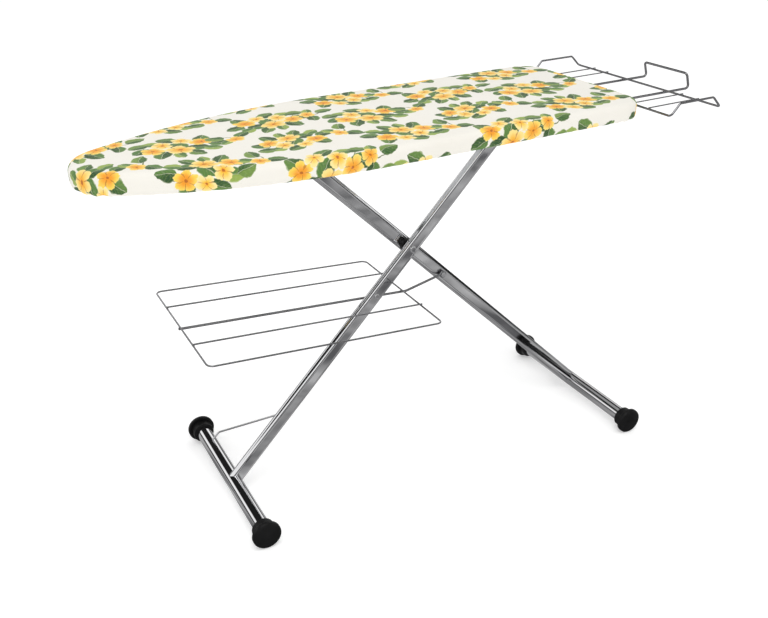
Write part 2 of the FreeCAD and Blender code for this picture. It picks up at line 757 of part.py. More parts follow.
def build_pivot():
    """Bolt through both legs, with a spacer between them and a washer and nut behind."""
    frame = Placement(PIVOT, Rotation())
    near = "-dims.leg_offset - dims.leg_depth / 2"
    far = "dims.leg_offset + dims.leg_depth / 2"
    inner = "dims.leg_offset - dims.leg_depth / 2"
    turned("pivot_bolt", frame, [
        ("0", near + " - 4.5"), ("8.5", near + " - 4.5"), ("8.5", near + " - 0.1"),
        ("dims.bolt_radius", near + " - 0.1"), ("dims.bolt_radius", far + " + 9"), ("0", far + " + 9")],
        rounded=[(8.5, -OFFSET - size("leg_depth") / 2 - 4.5, 3.5)])
    turned("pivot_spacer", frame, [
        ("dims.bolt_radius + dims.pin_play", "-(%s) + 0.05" % inner),
        ("dims.spacer_radius", "-(%s) + 0.05" % inner), ("dims.spacer_radius", inner + " - 0.3"),
        ("dims.bolt_radius + dims.pin_play", inner + " - 0.3")],
        rounded=[(size("spacer_radius"), size("leg_depth") / 2 - OFFSET + 0.05, 1.0),
                 (size("spacer_radius"), OFFSET - size("leg_depth") / 2 - 0.3, 1.0)])
    turned("pivot_washer", frame, [
        ("dims.bolt_radius + dims.pin_play", far + " + 0.3"), ("9", far + " + 0.3"),
        ("9", far + " + 1.8"), ("dims.bolt_radius + dims.pin_play", far + " + 1.8")])
    build_nut("pivot_nut", OFFSET + size("leg_depth") / 2 + 1.9)


def build_nut(name, face):
    """Hexagon nut on the far end of the pivot bolt."""
    body = part_body(name)
    corner = 7.5
    thickness = 6.5
    section = sketch_on(body, "XZ_Plane", -face - thickness / 2)
    hexagon = []
    for index in range(6):
        turn = math.radians(60 * index)
        hexagon.append(("%.4f" % (corner * math.cos(turn)), "%.4f" % (corner * math.sin(turn))))
    add_polygon(section, hexagon)
    add_circle(section, "0", "0", "dims.bolt_radius + dims.pin_play")
    pad(body, section, "%g" % thickness, centred=True)
    keep(body, name, Placement(PIVOT, Rotation()))


def build_shelf_studs():
    """Stud on leg A for the shelf's guide, and pin on leg B for the shelf's hook."""
    near = "-dims.leg_offset - dims.leg_depth / 2"
    far = "dims.leg_offset + dims.leg_depth / 2"
    turned("guide_stud", Placement(GUIDE_POINT, Rotation()), [
        ("0", near + " - 3"), ("6.5", near + " - 3"), ("6.5", near + " - 0.1"),
        ("dims.stud_radius", near + " - 0.1"), ("dims.stud_radius", "-3.6"), ("4.6", "-3.4"),
        ("4.6", "-2.5"), ("0", "-2.5")],
        rounded=[(6.5, -OFFSET - size("leg_depth") / 2 - 3, 2.4)])
    turned("hook_pin", Placement(HOOK_POINT, Rotation()), [
        ("0", "-5.6"), ("6.5", "-5.6"), ("6.5", "-3.6"), ("dims.stud_radius", "-3.4"),
        ("dims.stud_radius", far + " + 0.1"), ("6.5", far + " + 0.1"), ("6.5", far + " + 3"),
        ("0", far + " + 3")], rounded=[(6.5, -5.6, 1.2), (6.5, OFFSET + size("leg_depth") / 2 + 3, 2.4)])


def build_slide_pin():
    """Top pin of leg B, running in the slots of the rail, with a nylon bush on each side."""
    reach = "dims.ear_half"
    turned("slide_pin", SLIDER, [
        ("0", "-%s - 2.8" % reach), ("8", "-%s - 2.8" % reach), ("8", "-%s - 0.3" % reach),
        ("dims.pin_radius", "-%s - 0.3" % reach), ("dims.pin_radius", reach + " + 0.3"),
        ("8", reach + " + 0.3"), ("8", reach + " + 2.8"), ("0", reach + " + 2.8")])
    bushes = []
    for side in (-1, 1):
        inner = size("leg_depth") / 2 + 0.1
        start = Vector(0, inner if side > 0 else -size("rail_half") + 0.4, 0)
        length = "dims.rail_half - dims.leg_depth / 2 - 0.5"
        outer = cylinder_on("bush_outer", "9", length, start, Y_AXIS)
        bore = cylinder_on("bush_bore", "dims.pin_radius + dims.pin_play", length, start, Y_AXIS)
        bushes.append(cut_from("bush", outer, bore))
    group_of("slide_bushes", bushes, SLIDER)


# ---------------------------------------------------------------- sliding bracket and brake lever
def build_slider():
    """Steel bracket astride the rail: an ear on each side of it and a web below."""
    body = part_body("slider_bracket")
    low = "-dims.lever_drop - 8"
    back = "-dims.lever_back - 10"
    front = "-dims.lever_back + 10"
    ears = add_polygon(sketch_on(body, "XZ_Plane"), [
        ("-10", "9"), ("9", "9"), ("9", "-9"), (front, "-20"), (front, low), (back, low), (back, "-12")])
    pad(body, ears, "2 * dims.ear_half", centred=True)
    clear = "2 * (dims.ear_half - dims.ear_wall)"
    above = add_polygon(sketch_on(body, "XZ_Plane"), [
        ("-40", "-18.2"), ("20", "-18.2"), ("20", "20"), ("-40", "20")])
    pocket(body, above, clear)
    below = add_polygon(sketch_on(body, "XZ_Plane"), [
        ("-40", "-50"), ("20", "-50"), ("20", "-20.4"), ("-40", "-20.4")])
    pocket(body, below, clear)
    bores = sketch_on(body, "XZ_Plane")
    add_circle(bores, "0", "0", "dims.pin_radius + 1.5 * dims.pin_play")
    add_circle(bores, "-dims.lever_back", "-dims.lever_drop", "dims.lever_pin_radius + dims.pin_play")
    pocket(body, bores)
    keep(body, "slider_bracket", SLIDER)


def lever_frame():
    return SLIDER.multiply(Placement(Vector(-size("lever_back"), 0, -size("lever_drop")), Rotation()))


def build_lever():
    """Brake lever hinged on the sliding bracket: hub, long strip, rubber shoe and grip."""
    turned("lever_pin", lever_frame(), [
        ("0", "-dims.ear_half - 1.8"), ("4", "-dims.ear_half - 1.8"), ("4", "-dims.ear_half - 0.2"),
        ("dims.lever_pin_radius", "-dims.ear_half - 0.2"), ("dims.lever_pin_radius", "dims.ear_half + 0.2"),
        ("4", "dims.ear_half + 0.2"), ("4", "dims.ear_half + 1.8"), ("0", "dims.ear_half + 1.8")])
    body = part_body("release_lever")
    side_view = add_polygon(sketch_on(body, "XZ_Plane"), [
        ("-dims.lever_length", "-6.5"), ("6", "-6.5"), ("6", "4.5"), ("-6", "4.5"), ("-6", "-3.5"),
        ("-dims.lever_length", "-3.5")])
    pad(body, side_view, "2 * dims.lever_half", centred=True)
    pocket(body, add_circle(sketch_on(body, "XZ_Plane"), "0", "0", "dims.lever_pin_radius + dims.pin_play"))
    keep(body, "release_lever", lever_frame())
    shoe = part_body("brake_shoe")
    block = add_polygon(sketch_on(shoe, "XZ_Plane"), [
        ("-32", "-3.45"), ("-17", "-3.45"), ("-17", "11.6"), ("-32", "11.6")])
    pad(shoe, block, "2 * (dims.rail_half + dims.sheet_wall) + 1", centred=True)
    keep(shoe, "brake_shoe", lever_frame())
    grip = part_body("lever_grip")
    handle = add_polygon(sketch_on(grip, "XZ_Plane"), [
        ("-dims.lever_length - 8", "-10"), ("-dims.lever_length + 44", "-10"),
        ("-dims.lever_length + 44", "0"), ("-dims.lever_length - 8", "0")])
    pad(grip, handle, "2 * dims.lever_half + 6", centred=True)
    socket = add_polygon(sketch_on(grip, "XZ_Plane"), [
        ("-dims.lever_length - 0.1", "-6.6"), ("-dims.lever_length + 45", "-6.6"),
        ("-dims.lever_length + 45", "-3.4"), ("-dims.lever_length - 0.1", "-3.4")])
    pocket(grip, socket, "2 * dims.lever_half + 0.2")
    keep(grip, "lever_grip", lever_frame())


def build_spring():
    """Torsion spring round the lever pin, one close-wound coil on each side of the hub."""
    coils = []
    for side in (-1, 1):
        rings = []
        for turn in range(3):
            ring = doc.addObject("Part::Torus", "spring_turn")
            ring.setExpression("Radius1", "dims.spring_coil")
            ring.setExpression("Radius2", "dims.spring_wire")
            place = side * (size("lever_half") + 0.9 + 0.7 * turn)
            ring.Placement = Placement(Vector(0, place, 0), Rotation(Vector(1, 0, 0), 90))
            rings.append(ring)
        tail = cylinder_on("spring_tail", "dims.spring_wire", "11", Vector(
            -size("spring_coil"), side * (size("lever_half") + 0.9), 0), Vector(0, 0, -1))
        rings.append(tail)
        coils.append(fused("spring_coil", rings))
    group_of("lever_spring", coils, lever_frame())


# ---------------------------------------------------------------- clothes shelf
def build_shelf():
    """Wire shelf: a closed frame, two inner wires and a thick rod hooked to leg B."""
    level = size("rod_radius") + size("shelf_wire") + WELD_GAP - size("rod_drop")
    near = -size("shelf_near")
    far = -size("shelf_far")
    half = size("shelf_half")
    loop = [Vector(near, -half, level), Vector(near, half, level),
            Vector(far, half, level), Vector(far, -half, level)]
    frame = bent_wire("shelf_frame", loop, "shelf_wire", bend=size("shelf_corner"), closed=True)
    keep(frame, "shelf_frame", SHELF)
    wires = []
    top = level + 2 * size("shelf_wire") + WELD_GAP
    for side in (-1, 1):
        start = Vector(far - size("shelf_wire"), side * half / 2, top)
        wires.append(cylinder_on("shelf_wire_%s" % ("near" if side < 0 else "far"), "dims.shelf_wire",
                                 "dims.shelf_far - dims.shelf_near + 2 * dims.shelf_wire",
                                 start, Vector(1, 0, 0)))
    group_of("shelf_wires", wires, SHELF)
    drop = -size("rod_drop")
    reach = size("hook_radius")
    rod = bent_wire("shelf_rod", [Vector(far - 3, 0, drop), Vector(-104, 0, drop),
                                  Vector(-reach, 0, 0)], "rod_radius", bend=20.0)
    eye = doc.addObject("Part::Torus", "shelf_eye")
    eye.setExpression("Radius1", "dims.hook_radius")
    eye.setExpression("Radius2", "dims.rod_radius")
    eye.Placement = Placement(Vector(0, 0, 0), Rotation(Vector(1, 0, 0), 90))
    keep(fused("shelf_rod", [rod, eye]), "shelf_rod", SHELF)


def build_shelf_guide():
    """Guide that swings on leg A's stud and lets the shelf's rod slide through it."""
    body = part_body("shelf_guide")
    hub = add_circle(sketch_on(body, "XZ_Plane", 5.2), "0", "0", "7")
    pad(body, hub, "3", centred=True)
    plate = add_polygon(sketch_on(body, "XZ_Plane", 5.2), [
        ("-8", "-dims.guide_drop - 6"), ("8", "-dims.guide_drop - 6"), ("6.2", "-2"), ("-6.2", "-2")])
    pad(body, plate, "3", centred=True)
    block = add_polygon(sketch_on(body, "XZ_Plane", -0.4), [
        ("-8", "-dims.guide_drop - 6"), ("8", "-dims.guide_drop - 6"),
        ("8", "-dims.guide_drop + 6"), ("-8", "-dims.guide_drop + 6")])
    pad(body, block, "10.2", centred=True)
    pocket(body, add_circle(sketch_on(body, "XZ_Plane"), "0", "0", "dims.stud_radius + dims.pin_play"))
    slot = add_polygon(sketch_on(body, "YZ_Plane"), [
        ("-3.5", "-dims.guide_drop - dims.guide_slot"), ("3.5", "-dims.guide_drop - dims.guide_slot"),
        ("3.5", "-dims.guide_drop + dims.guide_slot"), ("-3.5", "-dims.guide_drop + dims.guide_slot")])
    pocket(body, slot)
    keep(body, "shelf_guide", GUIDE)


# ---------------------------------------------------------------- iron rest
def build_iron_rest():
    """Wire rest at the tail: a guarded loop, four thin bars and a thick rod that slides."""
    level = -size("rest_depth")
    inner = size("rest_inner")
    outer = size("rest_outer")
    half = size("rest_half")
    lean = size("guard_lean")
    top = level + size("guard_rise")
    loop = [Vector(outer, -half, level), Vector(outer, half, level), Vector(outer - lean, half, top),
            Vector(inner + lean, half, top), Vector(inner, half, level), Vector(inner, -half, level),
            Vector(inner + lean, -half, top), Vector(outer - lean, -half, top)]
    keep(bent_wire("rest_loop", loop, "rest_wire", closed=True), "rest_loop", BOARD)
    bars = []
    for place in ("bar_outer", "bar_inner"):
        for side in (-1, 1):
            start = Vector(inner - 2, side * size(place),
                           level + size("rest_wire") + size("bar_wire") + WELD_GAP)
            bars.append(cylinder_on("rest_bar", "dims.bar_wire", "dims.rest_outer - dims.rest_inner + 4",
                                    start, Vector(1, 0, 0)))
    group_of("rest_bars", bars, BOARD)
    arm = size("arm_half")
    low = -size("arm_drop")
    under = level - size("rest_wire") - size("arm_wire") - WELD_GAP
    step = size("arm_step")
    reach = size("hoop_reach")
    side_points = [Vector(size("arm_start"), arm, low), Vector(step, arm, low),
                   Vector(step + 14, arm, under), Vector(reach, arm, under),
                   Vector(reach - size("hoop_lean"), arm, under + size("hoop_rise"))]
    mirrored = [Vector(point.x, -point.y, point.z) for point in reversed(side_points)]
    keep(bent_wire("rest_arms", side_points + mirrored, "arm_wire"), "rest_arms", BOARD)
    stops = []
    for side in (-1, 1):
        start = Vector(size("arm_start") + 6, side * arm, low)
        ring = cylinder_on("stop_ring", "6", "8", start, Vector(1, 0, 0))
        bore = cylinder_on("stop_bore", "dims.arm_wire + dims.pin_play", "8", start, Vector(1, 0, 0))
        stops.append(cut_from("stop", ring, bore))
    group_of("rest_stops", stops, BOARD)


def build_all():
    build_perimeter_frame()
    build_deck()
    build_cross_members()
    build_rail()
    build_hinge_bracket()
    build_rivets()
    build_hinge_pin()
    build_rest_glides()
    build_pad()
    build_cover()
    build_drawcord()
    build_leg_a()
    build_leg_b()
    build_brace()
    build_pivot()
    build_shelf_studs()
    build_slide_pin()
    build_slider()
    build_lever()
    build_spring()
    build_shelf()
    build_shelf_guide()
    build_iron_rest()


def check_document():
    """Stops the build if any object failed, or a sub-part has no valid shape."""
    doc.recompute()
    for item in doc.Objects:
        if "Invalid" in item.State or "Error" in item.State:
            raise RuntimeError("failed object: %s %s" % (item.Name, item.State))
    for piece in SUB_PARTS:
        if piece.Shape.isNull() or not piece.Shape.isValid() or not piece.Shape.Solids:
            raise RuntimeError("bad shape: " + piece.Label)


def export_parts():
    os.makedirs("parts", exist_ok=True)
    for piece in SUB_PARTS:
        piece.Shape.exportStep("parts/%s.step" % piece.Label)
        print(piece.Label, len(piece.Shape.Solids), round(piece.Shape.Volume))


build_all()
check_document()
export_parts()
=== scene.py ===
import json
import math

import bmesh
import bpy
import numpy as np
from mathutils import Matrix, Vector
from mathutils.bvhtree import BVHTree


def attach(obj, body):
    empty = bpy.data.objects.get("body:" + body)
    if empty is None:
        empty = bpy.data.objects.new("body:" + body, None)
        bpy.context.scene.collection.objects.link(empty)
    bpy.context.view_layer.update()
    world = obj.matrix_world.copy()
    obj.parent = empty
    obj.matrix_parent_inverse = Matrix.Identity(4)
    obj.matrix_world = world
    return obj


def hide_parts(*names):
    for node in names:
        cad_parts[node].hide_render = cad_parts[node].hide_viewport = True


# Looks for a folding ironing board: a printed cotton cover stretched over a felt pad, chrome
# legs and wires, black plastic fittings and a painted steel deck. Metres, +X to the tail, +Z up.

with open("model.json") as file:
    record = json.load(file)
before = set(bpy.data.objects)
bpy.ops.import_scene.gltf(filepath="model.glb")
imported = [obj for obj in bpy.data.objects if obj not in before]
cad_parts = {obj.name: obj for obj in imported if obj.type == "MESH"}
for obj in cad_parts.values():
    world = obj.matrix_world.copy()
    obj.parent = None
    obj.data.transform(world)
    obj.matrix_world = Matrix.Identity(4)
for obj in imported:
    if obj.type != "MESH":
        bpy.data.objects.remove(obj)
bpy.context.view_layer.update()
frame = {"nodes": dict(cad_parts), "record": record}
NODES = frame["nodes"]
COLLECTION = bpy.context.scene.collection
CHAOS = 7  # the one seed of every random draw


# ---------------------------------------------------------------- places from the frame
def board_matrix():
    """The board's own frame: x along the ironing surface, z square to it, 0 at the surface."""
    surface = frame["record"]["mounts"][0]
    up = Vector(surface["axis"])
    tilt = math.atan2(-up.x, up.z)
    return Matrix.Translation(Vector(surface["pos_m"])) @ Matrix.Rotation(-tilt, 4, "Y")


BOARD = board_matrix()
TO_BOARD = BOARD.inverted()


def board_box(node):
    """A node's lowest and highest corners in the board's own frame."""
    corners = np.array([TO_BOARD @ v.co for v in NODES[node].data.vertices])
    return Vector(corners.min(0)), Vector(corners.max(0))


COVER_LOW, COVER_HIGH = board_box("cover")

# The outline of the board seen from above: its ends and width from the frame, its radii as in CAD.
NOSE = COVER_LOW.x
TAIL = COVER_HIGH.x
HALF_WIDTH = COVER_HIGH.y
NOSE_RADIUS = 0.104
WIDEST_AT = -0.140
CORNER_RADIUS = 0.072
SPAN = WIDEST_AT - (NOSE + NOSE_RADIUS)
FLANK_RADIUS = (SPAN**2 + HALF_WIDTH**2 - NOSE_RADIUS**2) / (2 * (HALF_WIDTH - NOSE_RADIUS))
FLANK_TURN = math.asin(SPAN / (FLANK_RADIUS - NOSE_RADIUS))


def outline(step):
    """Points and outward normals round the board, as two arrays, evenly about step apart."""
    points, normals = [], []

    def arc(centre, radius, start, end):
        count = max(2, round(radius * abs(end - start) / step))
        for i in range(count):
            turn = start + (end - start) * i / count
            normal = (math.cos(turn), math.sin(turn))
            points.append((centre[0] + radius * normal[0], centre[1] + radius * normal[1]))
            normals.append(normal)

    def line(start, end, normal):
        count = max(2, round(math.dist(start, end) / step))
        for i in range(count):
            share = i / count
            points.append(tuple(a + (b - a) * share for a, b in zip(start, end)))
            normals.append(normal)

    square = math.pi / 2
    straight_end = TAIL - CORNER_RADIUS
    flank_y = HALF_WIDTH - FLANK_RADIUS
    corner_y = HALF_WIDTH - CORNER_RADIUS
    line((TAIL, -corner_y), (TAIL, corner_y), (1, 0))
    arc((straight_end, corner_y), CORNER_RADIUS, 0, square)
    line((straight_end, HALF_WIDTH), (WIDEST_AT, HALF_WIDTH), (0, 1))
    arc((WIDEST_AT, flank_y), FLANK_RADIUS, square, square + FLANK_TURN)
    arc((NOSE + NOSE_RADIUS, 0), NOSE_RADIUS, square + FLANK_TURN, 3 * square - FLANK_TURN)
    arc((WIDEST_AT, -flank_y), FLANK_RADIUS, 3 * square - FLANK_TURN, 3 * square)
    line((WIDEST_AT, -HALF_WIDTH), (straight_end, -HALF_WIDTH), (0, -1))
    arc((straight_end, -corner_y), CORNER_RADIUS, 3 * square, 4 * square)
    return np.array(points), np.array(normals)


# ---------------------------------------------------------------- mesh and modifier helpers
def new_object(name, vertices, faces):
    mesh = bpy.data.meshes.new(name)
    mesh.from_pydata([tuple(v) for v in vertices], [], faces)
    mesh.validate()
    piece = bpy.data.objects.new(name, mesh)
    COLLECTION.objects.link(piece)
    return piece


def smooth(piece):
    for face in piece.data.polygons:
        face.use_smooth = True


def apply_modifiers(piece):
    """Gives a piece the mesh that its modifiers make, and drops them."""
    graph = bpy.context.evaluated_depsgraph_get()
    graph.update()
    made = bpy.data.meshes.new_from_object(piece.evaluated_get(graph))
    piece.modifiers.clear()
    piece.data = made


def loops_of_rings(count, rings):
    """Quads between rings of count points each, ring after ring."""
    faces = []
    for ring in range(rings - 1):
        for i in range(count):
            j = (i + 1) % count
            faces.append((ring * count + i, ring * count + j, (ring + 1) * count + j, (ring + 1) * count + i))
    return faces


# ---------------------------------------------------------------- shader helpers
def fill_ramp(node, stops):
    """Gives a colour ramp node its (place, colour) stops."""
    elements = node.color_ramp.elements
    while len(elements) < len(stops):
        elements.new(0.5)
    for element, (place, colour) in zip(elements, stops):
        element.position = place
        element.color = (*colour, 1)


class Shader:
    """A new material with one Principled shader, and short calls that add nodes to it."""

    def __init__(self, name, base_color, roughness, metallic=0.0, **sockets):
        self.material = bpy.data.materials.new(name)
        self.material.use_nodes = True
        self.tree = self.material.node_tree
        self.tree.nodes.clear()
        self.output = self.tree.nodes.new("ShaderNodeOutputMaterial")
        self.surface = self.tree.nodes.new("ShaderNodeBsdfPrincipled")
        self.join(self.surface.outputs[0], self.output.inputs["Surface"])
        self.surface.inputs["Base Color"].default_value = (*base_color, 1)
        self.surface.inputs["Roughness"].default_value = roughness
        self.surface.inputs["Metallic"].default_value = metallic
        for socket, value in sockets.items():
            self.surface.inputs[socket.replace("_", " ")].default_value = value

    def join(self, source, target):
        self.tree.links.new(source, target)

    def set(self, socket, source):
        self.join(source, self.surface.inputs[socket])

    def place(self):
        return self.tree.nodes.new("ShaderNodeTexCoord").outputs["Object"]

    def noise(self, scale, detail=3.0, roughness=0.5, vector=None, distortion=0.0):
        node = self.tree.nodes.new("ShaderNodeTexNoise")
        node.inputs["Scale"].default_value = scale
        node.inputs["Detail"].default_value = detail
        node.inputs["Roughness"].default_value = roughness
        node.inputs["Distortion"].default_value = distortion
        self.join(vector or self.place(), node.inputs["Vector"])
        return node.outputs["Fac"]

    def ramp(self, fac, *stops):
        node = self.tree.nodes.new("ShaderNodeValToRGB")
        fill_ramp(node, stops)
        self.join(fac, node.inputs["Fac"])
        return node.outputs["Color"]

    def spread(self, fac, low, high):
        """Maps 0..1 to low..high."""
        node = self.tree.nodes.new("ShaderNodeMapRange")
        node.inputs["To Min"].default_value = low
        node.inputs["To Max"].default_value = high
        self.join(fac, node.inputs["Value"])
        return node.outputs["Result"]

    def bump(self, height, strength, distance):
        node = self.tree.nodes.new("ShaderNodeBump")
        node.inputs["Strength"].default_value = strength
        node.inputs["Distance"].default_value = distance
        self.join(height, node.inputs["Height"])
        self.set("Normal", node.outputs["Normal"])


class Sums:
    """Short calls that add arithmetic nodes to a node tree."""

    def __init__(self, tree):
        self.tree = tree

    def wire(self, source, target):
        if hasattr(source, "is_output"):
            self.tree.links.new(source, target)
        else:
            target.default_value = source

    def math(self, operation, *values, clamp=False):
        node = self.tree.nodes.new("ShaderNodeMath")
        node.operation = operation
        node.use_clamp = clamp
        for value, target in zip(values, node.inputs):
            self.wire(value, target)
        return node.outputs[0]

    def vector(self, operation, *values):
        node = self.tree.nodes.new("ShaderNodeVectorMath")
        node.operation = operation
        for value, target in zip(values, node.inputs):
            self.wire(value, target)
        return node.outputs["Value" if operation in ("LENGTH", "DOT_PRODUCT") else "Vector"]

    def split(self, vector):
        node = self.tree.nodes.new("ShaderNodeSeparateXYZ")
        self.wire(vector, node.inputs[0])
        return node.outputs["X"], node.outputs["Y"]

    def pair(self, x, y):
        node = self.tree.nodes.new("ShaderNodeCombineXYZ")
        self.wire(x, node.inputs["X"])
        self.wire(y, node.inputs["Y"])
        return node.outputs[0]

    def turned(self, vector, angle):
        node = self.tree.nodes.new("ShaderNodeVectorRotate")
        node.rotation_type = "Z_AXIS"
        self.wire(vector, node.inputs["Vector"])
        self.wire(angle, node.inputs["Angle"])
        return node.outputs[0]

    def step(self, value, low, high):
        """0 at low and 1 at high, with a smooth rise between."""
        node = self.tree.nodes.new("ShaderNodeMapRange")
        node.interpolation_type = "SMOOTHSTEP"
        self.wire(value, node.inputs["Value"])
        self.wire(low, node.inputs["From Min"])
        self.wire(high, node.inputs["From Max"])
        return node.outputs["Result"]

    def mix(self, fac, low, high):
        node = self.tree.nodes.new("ShaderNodeMix")
        node.data_type = "RGBA"
        self.wire(fac, node.inputs["Factor"])
        targets = [x for x in node.inputs if x.type == "RGBA"]
        self.wire(low, targets[0])
        self.wire(high, targets[1])
        return next(x for x in node.outputs if x.type == "RGBA")


# ---------------------------------------------------------------- the printed flowers
# Colours of the print, as linear red, green, blue and opacity.
CREAM = (0.85, 0.82, 0.74, 1)
PALE_CREAM = (0.90, 0.875, 0.81, 1)
WORN_CREAM = (0.90, 0.87, 0.76, 1)
LEMON = (0.98, 0.66, 0.08, 1)
PALE_LEMON = (0.97, 0.82, 0.38, 1)
AMBER = (0.90, 0.33, 0.015, 1)
RUST = (0.50, 0.14, 0.01, 1)
DARK_LEAF = (0.022, 0.075, 0.02, 1)
MID_LEAF = (0.075, 0.19, 0.04, 1)
LIME_LEAF = (0.30, 0.42, 0.08, 1)
PALE_EDGE = (0.86, 0.87, 0.62, 1)
STEM = (0.16, 0.20, 0.07, 1)


def begin_motif(name, details):
    """A node group that paints one motif on a ground colour, in the motif's own turned place."""
    group = bpy.data.node_groups.new(name, "ShaderNodeTree")
    face = group.interface
    face.new_socket("Ground", in_out="INPUT", socket_type="NodeSocketColor")
    face.new_socket("Place", in_out="INPUT", socket_type="NodeSocketVector")
    face.new_socket("Centre", in_out="INPUT", socket_type="NodeSocketVector")
    face.new_socket("Stretch", in_out="INPUT", socket_type="NodeSocketVector")
    for socket in ("Turn", *details):
        face.new_socket(socket, in_out="INPUT", socket_type="NodeSocketFloat")
    face.new_socket("Color", in_out="OUTPUT", socket_type="NodeSocketColor")
    given = group.nodes.new("NodeGroupInput").outputs
    sums = Sums(group)
    local = sums.turned(sums.vector("SUBTRACT", given["Place"], given["Centre"]), given["Turn"])
    return sums, given, sums.vector("MULTIPLY", local, given["Stretch"])


def end_motif(sums, given, mask, body):
    """Lays the motif's colour over the ground where its mask is 1."""
    leave = sums.tree.nodes.new("NodeGroupOutput")
    sums.wire(sums.mix(mask, given["Ground"], body), leave.inputs["Color"])
    return sums.tree


def flower_group():
    """A flower of radius 1: Tone runs from lemon to amber."""
    sums, given, local = begin_motif("flower", ["Tone", "Petals"])
    x, y = sums.split(local)
    reach = sums.vector("LENGTH", local)
    turn = sums.math("ARCTAN2", y, x)
    half = sums.math("MULTIPLY", sums.math("MULTIPLY", turn, given["Petals"]), 0.5)
    lobe = sums.math("ABSOLUTE", sums.math("COSINE", half))
    rim = sums.math("MULTIPLY_ADD", sums.math("POWER", lobe, 0.42), 0.42, 0.56)
    ripple = sums.math("MULTIPLY", sums.math("SINE", sums.math("MULTIPLY", turn, 23.0)), 0.022)
    rim = sums.math("ADD", rim, ripple)
    share = sums.math("DIVIDE", reach, rim)
    tint = sums.mix(given["Tone"], LEMON, AMBER)
    light = sums.mix(given["Tone"], PALE_LEMON, LEMON)
    body = sums.mix(sums.step(share, 0.25, 0.9), tint, light)
    veins = sums.math("ABSOLUTE", sums.math("SINE", sums.math("MULTIPLY", half, 7.0)))
    veins = sums.math("MULTIPLY", sums.step(veins, 0.45, 0.05), sums.step(share, 0.95, 0.3))
    body = sums.mix(sums.math("MULTIPLY", veins, 0.45), body, AMBER)
    seam = sums.math("MULTIPLY", sums.step(lobe, 0.34, 0.05), sums.step(share, 0.15, 0.4))
    body = sums.mix(sums.math("MULTIPLY", seam, 0.75), body, RUST)
    body = sums.mix(sums.math("MULTIPLY", sums.step(share, 0.36, 0.08), 0.85), body, AMBER)
    body = sums.mix(sums.step(reach, 0.16, 0.08), body, RUST)
    body = sums.mix(sums.math("MULTIPLY", sums.step(share, 0.86, 0.98), 0.55), body, PALE_LEMON)
    return end_motif(sums, given, sums.step(share, 1.0, 0.93), body)


def leaf_group():
    """A rounded leaf from x = -1 to 1: Tone runs from dark green to lime."""
    sums, given, local = begin_motif("leaf", ["Tone", "Point"])
    x, y = sums.split(local)
    y = sums.math("ADD", y, sums.math("MULTIPLY", sums.math("MULTIPLY", x, x), 0.10))
    square = sums.math("SUBTRACT", 1.0, sums.math("MULTIPLY", x, x), clamp=True)
    width = sums.math("POWER", square, 0.62)
    taper = sums.math("SUBTRACT", 1.0, sums.math("MULTIPLY", x, given["Point"]))
    width = sums.math("MULTIPLY", width, taper)
    across = sums.math("DIVIDE", sums.math("ABSOLUTE", y), sums.math("ADD", width, 0.001))
    dark = sums.mix(given["Tone"], DARK_LEAF, MID_LEAF)
    light = sums.mix(given["Tone"], MID_LEAF, LIME_LEAF)
    side = sums.step(y, -0.10, 0.25)
    body = sums.mix(side, dark, light)
    glow = sums.math("MULTIPLY", sums.step(x, -0.4, 0.9), sums.step(across, 0.9, 0.3))
    body = sums.mix(sums.math("MULTIPLY", glow, 0.5), body, light)
    slant = sums.math("SUBTRACT", x, sums.math("MULTIPLY", sums.math("ABSOLUTE", y), 0.8))
    ribs = sums.math("ABSOLUTE", sums.math("SINE", sums.math("MULTIPLY", slant, 8.5)))
    body = sums.mix(sums.math("MULTIPLY", sums.step(ribs, 0.20, 0.04), 0.5), body, LIME_LEAF)
    midrib = sums.step(sums.math("ABSOLUTE", y), 0.055, 0.02)
    body = sums.mix(sums.math("MULTIPLY", midrib, 0.45), body, PALE_EDGE)
    body = sums.mix(sums.math("MULTIPLY", sums.step(across, 0.80, 0.96), 0.45), body, PALE_EDGE)
    return end_motif(sums, given, sums.step(across, 1.0, 0.93), body)


def stem_group():
    """A thin curved stem from x = -1 to 1."""
    sums, given, local = begin_motif("stem", ["Bend"])
    x, y = sums.split(local)
    bow = sums.math("MULTIPLY", sums.math("SUBTRACT", sums.math("MULTIPLY", x, x), 1.0), given["Bend"])
    off = sums.math("ABSOLUTE", sums.math("ADD", y, bow))
    ends = sums.step(sums.math("ABSOLUTE", x), 1.0, 0.97)
    mask = sums.math("MULTIPLY", sums.step(off, 0.055, 0.03), ends)
    return end_motif(sums, given, mask, STEM)


